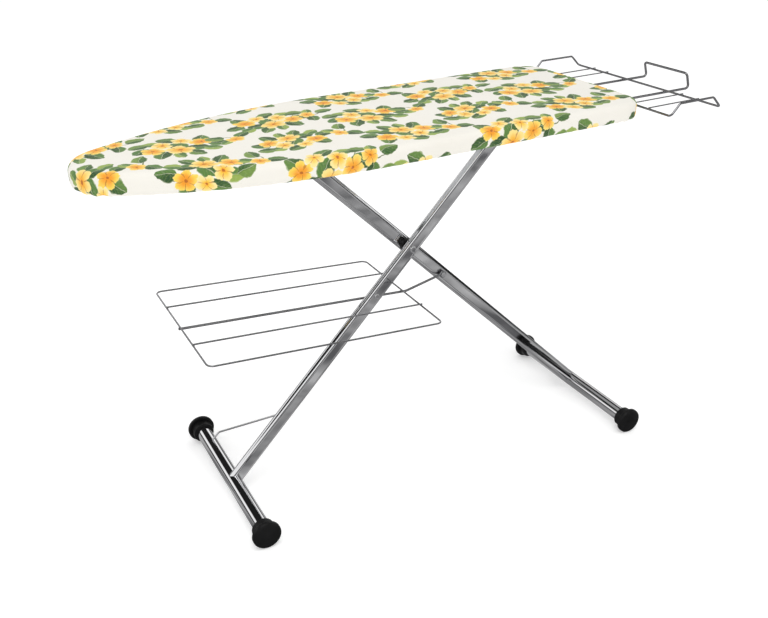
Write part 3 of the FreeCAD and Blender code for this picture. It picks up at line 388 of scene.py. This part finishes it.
# A posy fills each cell of the print. Odd columns mirror it, and odd rows turn it half round.
# Its motifs: kind, x and y in the cell, turn in degrees, reach, breadth, tone, and the bend,
# point or number of petals. Lengths are in millimetres.
POSY = [
    ("stem", -52, -8, 20, 26, 26, 0, 0.5),
    ("stem", 48, 22, 40, 24, 24, 0, -0.5),
    ("stem", 30, -40, -50, 18, 18, 0, 0.4),
    ("leaf", -66, -14, 200, 19, 15, 0.1, 0.2),
    ("leaf", -46, 28, 120, 20, 16, 0.2, 0.1),
    ("leaf", 12, 44, 35, 21, 15, 0.2, 0.1),
    ("leaf", 44, 34, 15, 20, 14, 1.0, 0.2),
    ("leaf", 68, 32, -10, 18, 14, 0.4, 0.1),
    ("leaf", 68, 2, -25, 20, 14, 0.0, 0.1),
    ("leaf", 42, -36, -60, 21, 16, 0.1, 0.2),
    ("leaf", 14, -48, -95, 16, 12, 0.9, 0.2),
    ("leaf", -16, -48, -120, 19, 14, 0.3, 0.2),
    ("leaf", 2, 4, 60, 22, 17, 0.1, 0.1),
    ("leaf", -27, -20, 205, 20, 16, 0.05, 0.1),
    ("leaf", -48, -36, 215, 17, 14, 1.0, 0.1),
    ("flower", -40, 10, 12, 24, 21, 0.95, 5),
    ("flower", -10, 30, 40, 21, 17, 0.1, 5),
    ("flower", 50, -6, 50, 25, 20, 0.8, 5),
    ("flower", 28, 18, 80, 23, 19, 0.15, 5),
    ("flower", 6, -20, 30, 29, 23, 0.4, 5),
]
# One sprig, which stands where cells meet.
SPRIG = [
    ("stem", -6, 2, -30, 20, 20, 0, 0.4),
    ("leaf", -23, 12, 150, 15, 11, 0.5, 0.2),
    ("leaf", 19, 14, 40, 14, 11, 0.1, 0.2),
    ("leaf", -12, -12, 220, 12, 9, 1.0, 0.1),
    ("flower", 4, -4, 20, 16, 13, 0.75, 5),
]
CELL = (0.214, 0.158)   # one cell's width and height
DROP = 0.070            # how far every other column of the print is shifted
SWAY = 0.011            # how far a noise sways the outlines, as if painted by hand
POSY_PLACES = 0.86      # places are scaled by this, so a posy comes out larger
ODD_ROW_MORE = 0.07     # added to that scale in odd rows
SPRIG_PLACES = 0.70
GROUPS = {"flower": flower_group(), "leaf": leaf_group(), "stem": stem_group()}


def paint(sums, motifs, place, ground):
    """Paints the motifs one over another on the ground colour, around a local place."""
    for kind, x, y, turn, reach, breadth, hue, shape in motifs:
        node = sums.tree.nodes.new("ShaderNodeGroup")
        node.node_tree = GROUPS[kind]
        sums.wire(ground, node.inputs["Ground"])
        sums.wire(place, node.inputs["Place"])
        node.inputs["Centre"].default_value = (x / 1000, y / 1000, 0)
        node.inputs["Stretch"].default_value = (1000 / reach, 1000 / breadth, 0)
        node.inputs["Turn"].default_value = -math.radians(turn)
        if kind != "stem":
            node.inputs["Tone"].default_value = hue
        node.inputs[-1].default_value = shape
        ground = node.outputs["Color"]
    return ground


def flower_print(shader):
    """The whole print as a colour: posies in staggered cells, with sprigs where cells meet."""
    sums = Sums(shader.tree)
    source = shader.tree.nodes.new("ShaderNodeUVMap")
    source.uv_map = "print"
    brush = shader.tree.nodes.new("ShaderNodeTexNoise")
    brush.inputs["Scale"].default_value = 70
    brush.inputs["Detail"].default_value = 3
    sums.wire(source.outputs[0], brush.inputs["Vector"])
    sway = sums.vector("SUBTRACT", brush.outputs["Color"], (0.5, 0.5, 0.5))
    sway = sums.vector("MULTIPLY", sway, (SWAY, SWAY, 0))
    place = sums.vector("ADD", source.outputs[0], sway)

    def cells(shift):
        """Column, row and the place in its cell, with the cells shifted by a share of a cell."""
        x, y = sums.split(place)
        x = sums.math("ADD", x, shift[0] * CELL[0])
        column = sums.math("FLOOR", sums.math("DIVIDE", x, CELL[0]))
        odd = sums.math("MODULO", sums.math("ABSOLUTE", column), 2.0)
        y = sums.math("ADD", y, sums.math("MULTIPLY_ADD", odd, DROP, shift[1] * CELL[1]))
        row = sums.math("FLOOR", sums.math("DIVIDE", y, CELL[1]))
        odd_row = sums.math("MODULO", sums.math("ABSOLUTE", row), 2.0)
        local_x = sums.math("SUBTRACT", x, sums.math("MULTIPLY", sums.math("ADD", column, 0.5), CELL[0]))
        local_y = sums.math("SUBTRACT", y, sums.math("MULTIPLY", sums.math("ADD", row, 0.5), CELL[1]))
        return odd, odd_row, sums.pair(local_x, local_y)

    odd, odd_row, local = cells((0.0, 0.0))
    flip = sums.math("MULTIPLY_ADD", odd, -2.0, 1.0)
    x, y = sums.split(local)
    local = sums.pair(sums.math("MULTIPLY", x, flip), y)
    local = sums.turned(local, sums.math("MULTIPLY", odd_row, math.pi))
    scale = sums.math("MULTIPLY_ADD", odd_row, ODD_ROW_MORE, POSY_PLACES)
    local = sums.vector("MULTIPLY", local, sums.pair(scale, scale))
    ground_noise = shader.noise(9, detail=2, vector=source.outputs[0])
    ground = sums.mix(ground_noise, CREAM, PALE_CREAM)
    ground = paint(sums, POSY, local, ground)
    odd, odd_row, local = cells((0.5, 0.5))
    local = sums.turned(local, sums.math("MULTIPLY_ADD", odd, 1.4, odd_row))
    local = sums.vector("MULTIPLY", local, (SPRIG_PLACES, SPRIG_PLACES, 0))
    ground = paint(sums, SPRIG, local, ground)
    wash = shader.noise(160, detail=3, vector=source.outputs[0])
    faded = sums.math("MULTIPLY", sums.step(wash, 0.5, 0.8), 0.10)
    return sums.mix(faded, ground, WORN_CREAM)


# ---------------------------------------------------------------- metals and plastics
def chrome(name, grey):
    made = Shader(name, (grey, grey, grey), 0.07, metallic=1.0)
    dull = (grey - 0.05, grey - 0.05, grey - 0.04)
    bright = (grey + 0.05, grey + 0.05, grey + 0.06)
    smear = made.noise(26, detail=5)
    made.set("Roughness", made.spread(smear, 0.02, 0.075))
    made.set("Base Color", made.ramp(made.noise(7), (0.3, dull), (0.7, bright)))
    made.bump(made.noise(140, detail=2), 0.02, 0.0004)
    return made.material


def zinc():
    made = Shader("zinc_plate", (0.6, 0.61, 0.62), 0.38, metallic=1.0)
    crystals = made.noise(180, detail=4, distortion=0.6)
    made.set("Base Color", made.ramp(crystals, (0.3, (0.50, 0.51, 0.53)), (0.7, (0.70, 0.71, 0.71))))
    made.set("Roughness", made.spread(made.noise(60, detail=4), 0.28, 0.5))
    made.bump(crystals, 0.06, 0.0004)
    return made.material


def deck_paint():
    made = Shader("deck_paint", (0.62, 0.63, 0.64), 0.42, Coat_Weight=0.15)
    made.set("Base Color", made.ramp(made.noise(4), (0.3, (0.58, 0.59, 0.60)), (0.7, (0.66, 0.67, 0.68))))
    made.bump(made.noise(900, detail=2), 0.12, 0.0003)
    return made.material


def moulded_plastic(name, low, high, roughness, shine=0.5):
    made = Shader(name, low, roughness, Specular_IOR_Level=shine)
    made.set("Base Color", made.ramp(made.noise(30, detail=4), (0.3, low), (0.7, high)))
    made.set("Roughness", made.spread(made.noise(90, detail=3), roughness - 0.07, roughness + 0.1))
    made.bump(made.noise(1400, detail=2), 0.10, 0.0002)
    return made.material


SLOT_MATERIALS = {
    "chrome": chrome("chrome_plate", 0.66),
    "zinc": zinc(),
    "deck_paint": deck_paint(),
    "black_plastic": moulded_plastic(
        "black_plastic", (0.003, 0.003, 0.0033), (0.007, 0.007, 0.0075), 0.42, shine=0.25),
    "nylon": moulded_plastic("nylon", (0.72, 0.71, 0.66), (0.80, 0.79, 0.74), 0.45),
    "shoe_rubber": moulded_plastic("shoe_rubber", (0.02, 0.02, 0.02), (0.035, 0.035, 0.034), 0.8),
}
# The thin wires get the same chrome as the tubes, with a darker base colour.
WIRE_MATERIAL = chrome("wire_plate", 0.34)
WIRES = ("shelf_frame", "shelf_wires", "shelf_rod", "rest_loop", "rest_bars", "rest_arms")
for part in frame["record"]["subparts"]:
    slot = part["material_slot"]
    if slot in SLOT_MATERIALS:
        materials = NODES[part["node"]].data.materials
        materials.clear()
        materials.append(WIRE_MATERIAL if part["node"] in WIRES else SLOT_MATERIALS[slot])


# ---------------------------------------------------------------- the cover
# Across the edge the cloth runs flat, round the top, down the side, round the bottom and in to
# the hem, which is folded over the drawcord and sewn down.
STEP = 0.0055           # distance between points of the cloth's mesh
CLOTH = 0.0007          # thickness of the cloth
TOP_ROUND = 0.014
LOW_ROUND = 0.010
DEPTH = -COVER_LOW.z
NOSE_DEEPER = 0.004     # the cover hangs this much lower at the nose
CORD_INSET = 0.022
CORD_DEPTH = 0.0375
CASING = 0.003          # radius of the fold round the drawcord
WRAP = 2.3              # how far the fold goes round it, in quarter turns
SEAM_INSET = 0.0165
RAW_EDGE = ((0.001, 0.0020), (-0.001, 0.0016))  # further in than the seam, and up from the hem's foot
TOP_RINGS = 18
# How far along the cloth from where the top starts to curve: to the low round, and to the stitches.
LOW_CORNER = TOP_ROUND * math.pi / 2 + DEPTH - TOP_ROUND - LOW_ROUND
SEAM = LOW_CORNER + LOW_ROUND * math.pi / 2 + SEAM_INSET - LOW_ROUND

FOLDS = ((0.024, 0.5), (0.033, 0.6), (0.051, 0.35))  # pitch of each family of folds, and its share
CALM = 0.22             # strength of the folds on the straight sides; at tight bends it is 1
SIDE_FOLD = 0.0003      # how far the folds stand out on the side
HEM_FOLD = 0.0011       # and this much more at the hem

STITCH_PITCH = 0.0042
STITCH = 0.0030         # length of one stitch
THREAD = 0.0003         # radius of the sewing thread
THREAD_SIDES = 5
STITCH_INSET = SEAM_INSET + 0.0015
STITCH_DEPTH = CORD_DEPTH + CASING + 0.00035

PAD_TOP_ROUND = 0.0035
PAD_LOW_ROUND = 0.002
PAD_SAG = 0.0012        # how much lower the pad is in the middle than at its edge


def edge_profile(step):
    """(inset, depth) rows from where the top starts to curve to the raw edge inside the hem."""
    square = math.pi / 2
    side_length = DEPTH - TOP_ROUND - LOW_ROUND
    foot = CORD_DEPTH + CASING

    def top_round(t):
        return TOP_ROUND * (1 - math.sin(t * square)), TOP_ROUND * (1 - math.cos(t * square))

    def side(t):
        return 0, TOP_ROUND + t * side_length

    def low_round(t):
        return LOW_ROUND * (1 - math.cos(t * square)), DEPTH - LOW_ROUND * (1 - math.sin(t * square))

    def underside(t):
        return LOW_ROUND + t * (CORD_INSET - LOW_ROUND), DEPTH + t * (foot - DEPTH)

    def casing(t):
        turn = t * square * WRAP
        return CORD_INSET + CASING * math.sin(turn), CORD_DEPTH + CASING * math.cos(turn)

    pieces = [
        (TOP_ROUND * square, top_round),
        (side_length, side),
        (LOW_ROUND * square, low_round),
        (CORD_INSET - LOW_ROUND, underside),
        (CASING * square * WRAP, casing),
    ]
    rows = []
    for length, shape in pieces:
        count = max(3, round(length / step))
        rows += [shape(i / count) for i in range(count)]
    rows += [(SEAM_INSET + further, foot - up) for further, up in RAW_EDGE]
    return np.array(rows)


def rise(values, low, high):
    """0 up to low and 1 from high on, with a smooth rise between."""
    share = np.clip((values - low) / (high - low), 0, 1)
    return share * share * (3 - 2 * share)


def gathers(points, normals):
    """The folds along the outline: where each stands out, from -1 to 1, and how strong they are."""
    draw = np.random.default_rng(CHAOS)
    steps = np.linalg.norm(np.roll(points, -1, 0) - points, axis=1)
    along = np.concatenate([[0], np.cumsum(steps)[:-1]])
    girth = steps.sum()
    turn = np.abs(np.cross(normals, np.roll(normals, -1, 0))) / steps
    window = max(1, round(0.05 / STEP))
    bend = sum(np.roll(turn, k) for k in range(-window, window + 1)) / (2 * window + 1)
    strength = CALM + (1 - CALM) * rise(bend, 1.0, 8.0)
    wave = np.zeros(len(points))
    for pitch, share in FOLDS:
        folds = round(girth / pitch)
        sway = 1.6 * np.sin(2 * math.pi * (along / girth * draw.integers(5, 9)) + draw.uniform(0, 6))
        wave += share * np.sin(2 * math.pi * folds * along / girth + sway + draw.uniform(0, 6))
    return wave, strength


def swell(x, y):
    """The slight rise and fall of a soft top, in metres."""
    draw = np.random.default_rng(CHAOS + 1)
    lift = np.zeros_like(x)
    for _ in range(9):
        angle, pitch = draw.uniform(0, 2 * math.pi), draw.uniform(0.09, 0.30)
        lift += np.sin(2 * math.pi * (x * math.cos(angle) + y * math.sin(angle)) / pitch + draw.uniform(0, 6))
    return lift * 0.00014


def close_mesh(piece):
    """Joins points that lie on each other, and turns the faces outward."""
    shape = bmesh.new()
    shape.from_mesh(piece.data)
    bmesh.ops.remove_doubles(shape, verts=shape.verts, dist=1e-5)
    bmesh.ops.recalc_face_normals(shape, faces=shape.faces)
    if max(shape.faces, key=lambda face: face.calc_center_median().z).normal.z < 0:
        bmesh.ops.reverse_faces(shape, faces=shape.faces)
    shape.to_mesh(piece.data)
    shape.free()


def spine_of(points):
    """The middle line that the rings of the top close on."""
    ends = np.clip(points[:, 0], NOSE + NOSE_RADIUS, TAIL - CORNER_RADIUS * 1.6)
    return np.stack([ends, np.zeros(len(points))], axis=1)


def top_rings(spine, inner):
    """The top's rings, from the spine out to the edge's curve, and their places in the cut cloth."""
    vertices, cut = [], []
    for ring in range(TOP_RINGS):
        share = ring / TOP_RINGS
        row = spine + (inner - spine) * share
        lift = swell(row[:, 0], row[:, 1]) * (1 - rise(share, 0.85, 1.0))
        vertices += zip(row[:, 0], row[:, 1], lift)
        cut += list(row)
    return vertices, cut


def edge_rings(points, normals, inner):
    """The rings round the edge to the raw edge, their places in the cut cloth, and how far they run."""
    wave, strength = gathers(points, normals)
    deeper = NOSE_DEEPER * rise(-points[:, 0], 0.20, 0.70)
    profile = edge_profile(STEP * 0.55)
    spans = np.linalg.norm(np.diff(profile, axis=0), axis=1)
    run = np.concatenate([[0], np.cumsum(spans)])
    slopes = np.gradient(profile, axis=0)
    slopes /= np.linalg.norm(slopes, axis=1)[:, None]
    vertices, cut = [], []
    for (inset, depth), along, (inward, downward) in zip(profile, run, slopes):
        height = SIDE_FOLD * rise(along, TOP_ROUND, LOW_CORNER)
        height += HEM_FOLD * rise(along, LOW_CORNER - 0.008, LOW_CORNER + 0.010)
        height *= 1 - rise(along, SEAM - 0.006, SEAM)
        push = wave * strength * height
        low = deeper * rise(along, 0.0, LOW_CORNER) * (1 - rise(along, SEAM - 0.010, SEAM))
        row = points - normals * (inset - downward * push)[:, None]
        vertices += zip(row[:, 0], row[:, 1], -(depth + low + inward * push))
        cut += list(inner + normals * along)
    return vertices, cut, run[-1]


def build_cover():
    """The cover as a sheet with its real thickness, and the outline that its cloth is cut to."""
    points, normals = outline(STEP)
    inner = points - normals * TOP_ROUND
    vertices, cut = top_rings(spine_of(points), inner)
    edge_vertices, edge_cut, reach = edge_rings(points, normals, inner)
    vertices += edge_vertices
    cut += edge_cut
    rings = len(vertices) // len(points)
    piece = new_object("cotton_cover", vertices, loops_of_rings(len(points), rings))
    print_map = piece.data.uv_layers.new(name="print")
    for loop in piece.data.loops:
        print_map.data[loop.index].uv = cut[loop.vertex_index]
    close_mesh(piece)
    thickness = piece.modifiers.new("cloth", "SOLIDIFY")
    thickness.thickness = CLOTH
    thickness.offset = -1
    apply_modifiers(piece)
    smooth(piece)
    return piece, inner + normals * reach


def build_stitches():
    """The row of stitches in the hem, each a short bead of thread."""
    points, normals = outline(STEP)
    steps = np.linalg.norm(np.roll(points, -1, 0) - points, axis=1)
    places = np.concatenate([[0], np.cumsum(steps)])
    row = points - normals * STITCH_INSET
    row = np.vstack([row, row[:1]])
    vertices, faces = [], []

    def spot(along):
        return np.array([np.interp(along, places, row[:, k]) for k in (0, 1)])

    for i in range(int(places[-1] / STITCH_PITCH)):
        start = spot(i * STITCH_PITCH)
        end = spot(i * STITCH_PITCH + STITCH)
        across = np.array([end[1] - start[1], start[0] - end[0]])
        across /= np.linalg.norm(across)
        first = len(vertices)
        for share, size in ((0.0, 0.35), (0.2, 0.9), (0.8, 0.9), (1.0, 0.35)):
            middle = start + (end - start) * share
            for side in range(THREAD_SIDES):
                turn = 2 * math.pi * side / THREAD_SIDES
                x, y = middle + across * THREAD * size * math.cos(turn)
                vertices.append((x, y, -STITCH_DEPTH + THREAD * size * math.sin(turn)))
        for ring in range(3):
            for side in range(THREAD_SIDES):
                a = first + ring * THREAD_SIDES + side
                b = first + ring * THREAD_SIDES + (side + 1) % THREAD_SIDES
                faces.append((a, b, b + THREAD_SIDES, a + THREAD_SIDES))
        faces.append(tuple(first + side for side in reversed(range(THREAD_SIDES))))
        faces.append(tuple(first + 3 * THREAD_SIDES + side for side in range(THREAD_SIDES)))
    piece = new_object("hem_stitches", vertices, faces)
    smooth(piece)
    return piece


def build_pad():
    """The felt pad: a closed slab with soft rounded edges and a slightly uneven top."""
    low, high = board_box("pad")
    points, normals = outline(STEP * 1.6)
    inset = COVER_HIGH.y - high.y
    spine = spine_of(points)
    rows = []
    for share in np.linspace(0, 1, 12):
        rows.append((share, PAD_TOP_ROUND, high.z))
    for turn in np.linspace(0, math.pi / 2, 6)[1:]:
        drop = PAD_TOP_ROUND * (1 - math.cos(turn))
        rows.append((1, PAD_TOP_ROUND * (1 - math.sin(turn)), high.z - drop))
    for turn in np.linspace(0, math.pi / 2, 5):
        lifted = PAD_LOW_ROUND * (1 - math.sin(turn))
        rows.append((1, PAD_LOW_ROUND * (1 - math.cos(turn)), low.z + lifted))
    for share in np.linspace(1, 0, 12)[1:]:
        rows.append((share, PAD_LOW_ROUND, low.z))
    vertices = []
    for share, further, z in rows:
        edge = points - normals * (inset + further)
        row = spine + (edge - spine) * share
        lift = swell(row[:, 0], row[:, 1]) - PAD_SAG * (1 - share) if z == high.z else 0
        vertices += [(x, y, z + min(0, d)) for (x, y), d in zip(row, np.broadcast_to(lift, len(row)))]
    piece = new_object("felt_pad", vertices, loops_of_rings(len(points), len(rows)))
    close_mesh(piece)
    smooth(piece)
    return piece


def cotton(name, colour, scale):
    made = Shader(name, colour, 0.85, Sheen_Weight=0.2, Sheen_Roughness=0.5)
    shade = tuple(c * 0.85 for c in colour)
    made.set("Base Color", made.ramp(made.noise(scale, detail=4), (0.3, shade), (0.7, colour)))
    made.bump(made.noise(scale * 12, detail=2), 0.3, 0.0004)
    return made.material


def printed_cotton():
    made = Shader("printed_cotton", (0.95, 0.94, 0.90), 0.82, Sheen_Weight=0.12, Sheen_Roughness=0.5)
    made.set("Base Color", flower_print(made))
    made.set("Roughness", made.spread(made.noise(40, detail=3), 0.74, 0.90))
    made.bump(made.noise(2600, detail=2), 0.25, 0.0004)
    return made.material


cover, cut_edge = build_cover()
felt_pad = build_pad()
stitches = build_stitches()
for piece in (cover, felt_pad, stitches):
    piece.data.transform(BOARD)
cover.data.materials.append(printed_cotton())
felt_pad.data.materials.append(cotton("pad_felt", (0.62, 0.62, 0.60), 60))
stitches.data.materials.append(cotton("sewing_thread", (0.88, 0.86, 0.78), 300))
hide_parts("cover")
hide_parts("pad")
for piece in (cover, felt_pad, stitches):
    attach(piece, "board")
cord = NODES["cover_drawcord"].data
cord.materials.clear()
cord.materials.append(cotton("cord_cotton", (0.80, 0.79, 0.74), 420))


# ---------------------------------------------------------------- welds where wires cross
TOUCH = 0.0007          # wires this close are welded
APART = 0.009           # places closer than this are one weld
LOOK_EVERY = 0.0015     # distance between the spots looked at along an edge
BEAD = 0.0024           # radius of a weld bead
LUMPS = 5


def crossings(first, second):
    """The middle of each place where two nodes all but touch."""
    other = NODES[second].data
    near = BVHTree.FromPolygons([v.co for v in other.vertices], [tuple(f.vertices) for f in other.polygons])
    mesh = NODES[first].data
    groups = []
    for edge in mesh.edges:
        start, end = (mesh.vertices[i].co for i in edge.vertices)
        count = max(1, int((end - start).length / LOOK_EVERY))
        for i in range(count):
            spot = start.lerp(end, i / count)
            hit = near.find_nearest(spot, TOUCH)[0]
            if hit is None:
                continue
            for group in groups:
                if (group[0] - hit).length < APART:
                    group.append(hit)
                    break
            else:
                groups.append([hit])
    return [sum(group, Vector()) / len(group) for group in groups]


def weld_beads(name, pairs, body):
    """One uneven bead of weld metal at each crossing."""
    draw = np.random.default_rng(CHAOS + 2)
    shape = bmesh.new()
    for first, second in pairs:
        for place in crossings(first, second):
            made = bmesh.ops.create_icosphere(shape, subdivisions=3, radius=BEAD)
            lumps = []
            for _ in range(LUMPS):
                lump = Vector(draw.normal(size=3)).normalized()
                lumps.append((lump, draw.uniform(0.05, 0.16)))
            for vertex in made["verts"]:
                aim = vertex.co.normalized()
                vertex.co *= 1 + sum(size * max(0.0, aim.dot(lump)) ** 3 for lump, size in lumps)
                vertex.co += place
    piece = new_object(name, [], [])
    shape.to_mesh(piece.data)
    shape.free()
    smooth(piece)
    piece.data.materials.append(WIRE_MATERIAL)
    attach(piece, body)


weld_beads("shelf_welds", [("shelf_wires", "shelf_frame"), ("shelf_rod", "shelf_frame")], "shelf")
weld_beads("rest_welds", [("rest_bars", "rest_loop"), ("rest_arms", "rest_loop")], "iron_rest")


# ---------------------------------------------------------------- camera, floor and light
CAMERA_PLACE = (-1.0203, -1.7843, 1.4005)
CAMERA_YAW = 28.17      # degrees from +Y towards +X
CAMERA_PITCH = -26.26
CAMERA_ROLL = 1.02
LENS = 43.02            # millimetres, on a sensor 36 mm wide
FLOOR_HALF = 30
KEY_PLACE = (-1.0, -1.3, 4.2)
KEY_TARGET = (0, 0, 0.6)
KEY_SIZE = 2.4
KEY_WATTS = 48
# What shines sees these bands from straight down, at 0, to straight up, at 1: place and brightness.
STUDIO_BANDS = (
    (0.0, 0.20), (0.49, 0.22), (0.51, 0.015), (0.58, 0.02), (0.60, 1.2), (0.725, 1.2), (0.74, 0.015),
    (0.86, 0.02), (0.88, 0.40), (0.925, 0.40), (0.935, 0.015), (0.96, 0.015), (0.97, 0.9), (1.0, 0.9),
)


def set_camera():
    data = bpy.data.cameras.new("camera")
    camera = bpy.data.objects.new("camera", data)
    COLLECTION.objects.link(camera)
    yaw, pitch, roll = (math.radians(a) for a in (CAMERA_YAW, CAMERA_PITCH, CAMERA_ROLL))
    forward = Vector((math.sin(yaw) * math.cos(pitch), math.cos(yaw) * math.cos(pitch), math.sin(pitch)))
    level = Vector((math.cos(yaw), -math.sin(yaw), 0))
    above = level.cross(forward)
    right = level * math.cos(roll) + above * math.sin(roll)
    up = above * math.cos(roll) - level * math.sin(roll)
    turn = Matrix((right, up, -forward)).transposed().to_4x4()
    camera.matrix_world = Matrix.Translation(CAMERA_PLACE) @ turn
    data.sensor_width = 36
    data.lens = LENS
    data.clip_end = 60
    bpy.context.scene.camera = camera


def set_key_light():
    """One large soft light, high up in front."""
    data = bpy.data.lights.new("key", "AREA")
    data.shape = "RECTANGLE"
    data.size = KEY_SIZE
    data.size_y = KEY_SIZE
    data.energy = KEY_WATTS
    light = bpy.data.objects.new("key", data)
    COLLECTION.objects.link(light)
    light.location = KEY_PLACE
    light.rotation_euler = (Vector(KEY_TARGET) - Vector(KEY_PLACE)).to_track_quat("-Z", "Y").to_euler()


def set_world():
    """White to the camera; what shines sees a dim studio with bright bands."""
    world = bpy.data.worlds.new("studio")
    bpy.context.scene.world = world
    world.use_nodes = True
    tree = world.node_tree
    sums = Sums(tree)
    back = tree.nodes["Background"]
    back.inputs["Strength"].default_value = 1.0
    ray = tree.nodes.new("ShaderNodeLightPath")
    direction = tree.nodes.new("ShaderNodeTexCoord").outputs["Generated"]
    parts = tree.nodes.new("ShaderNodeSeparateXYZ")
    sums.wire(direction, parts.inputs[0])
    bands = tree.nodes.new("ShaderNodeValToRGB")
    fill_ramp(bands, [(place, (level, level, level)) for place, level in STUDIO_BANDS])
    sums.wire(sums.math("MULTIPLY_ADD", parts.outputs["Z"], 0.5, 0.5), bands.inputs["Fac"])
    shine = sums.mix(ray.outputs["Is Glossy Ray"], (0.78, 0.78, 0.78, 1), bands.outputs["Color"])
    sums.wire(sums.mix(ray.outputs["Is Camera Ray"], shine, (1, 1, 1, 1)), back.inputs["Color"])


def floor_paint():
    """White to most rays; what shines sees a grey floor with soft streaks."""
    paint = Shader("floor_paint", (0.92, 0.92, 0.92), 0.9,
                   Emission_Color=(1, 1, 1, 1), Emission_Strength=0.34)
    dark = (0.14, 0.14, 0.145)
    light = (0.60, 0.60, 0.60)
    streaks = paint.ramp(paint.noise(2.2, detail=3, distortion=1.5), (0.38, dark), (0.62, light))
    dim = paint.tree.nodes.new("ShaderNodeEmission")
    paint.join(streaks, dim.inputs["Color"])
    either = paint.tree.nodes.new("ShaderNodeMixShader")
    paint.join(paint.tree.nodes.new("ShaderNodeLightPath").outputs["Is Glossy Ray"], either.inputs[0])
    paint.join(paint.surface.outputs[0], either.inputs[1])
    paint.join(dim.outputs[0], either.inputs[2])
    paint.join(either.outputs[0], paint.output.inputs["Surface"])
    return paint.material


def set_stage():
    corners = [(-FLOOR_HALF, -FLOOR_HALF, 0), (FLOOR_HALF, -FLOOR_HALF, 0),
               (FLOOR_HALF, FLOOR_HALF, 0), (-FLOOR_HALF, FLOOR_HALF, 0)]
    floor = new_object("floor", corners, [(0, 1, 2, 3)])
    floor.data.materials.append(floor_paint())
    set_world()
    set_key_light()


set_camera()
set_stage()
bpy.context.scene.view_settings.view_transform = "Standard"
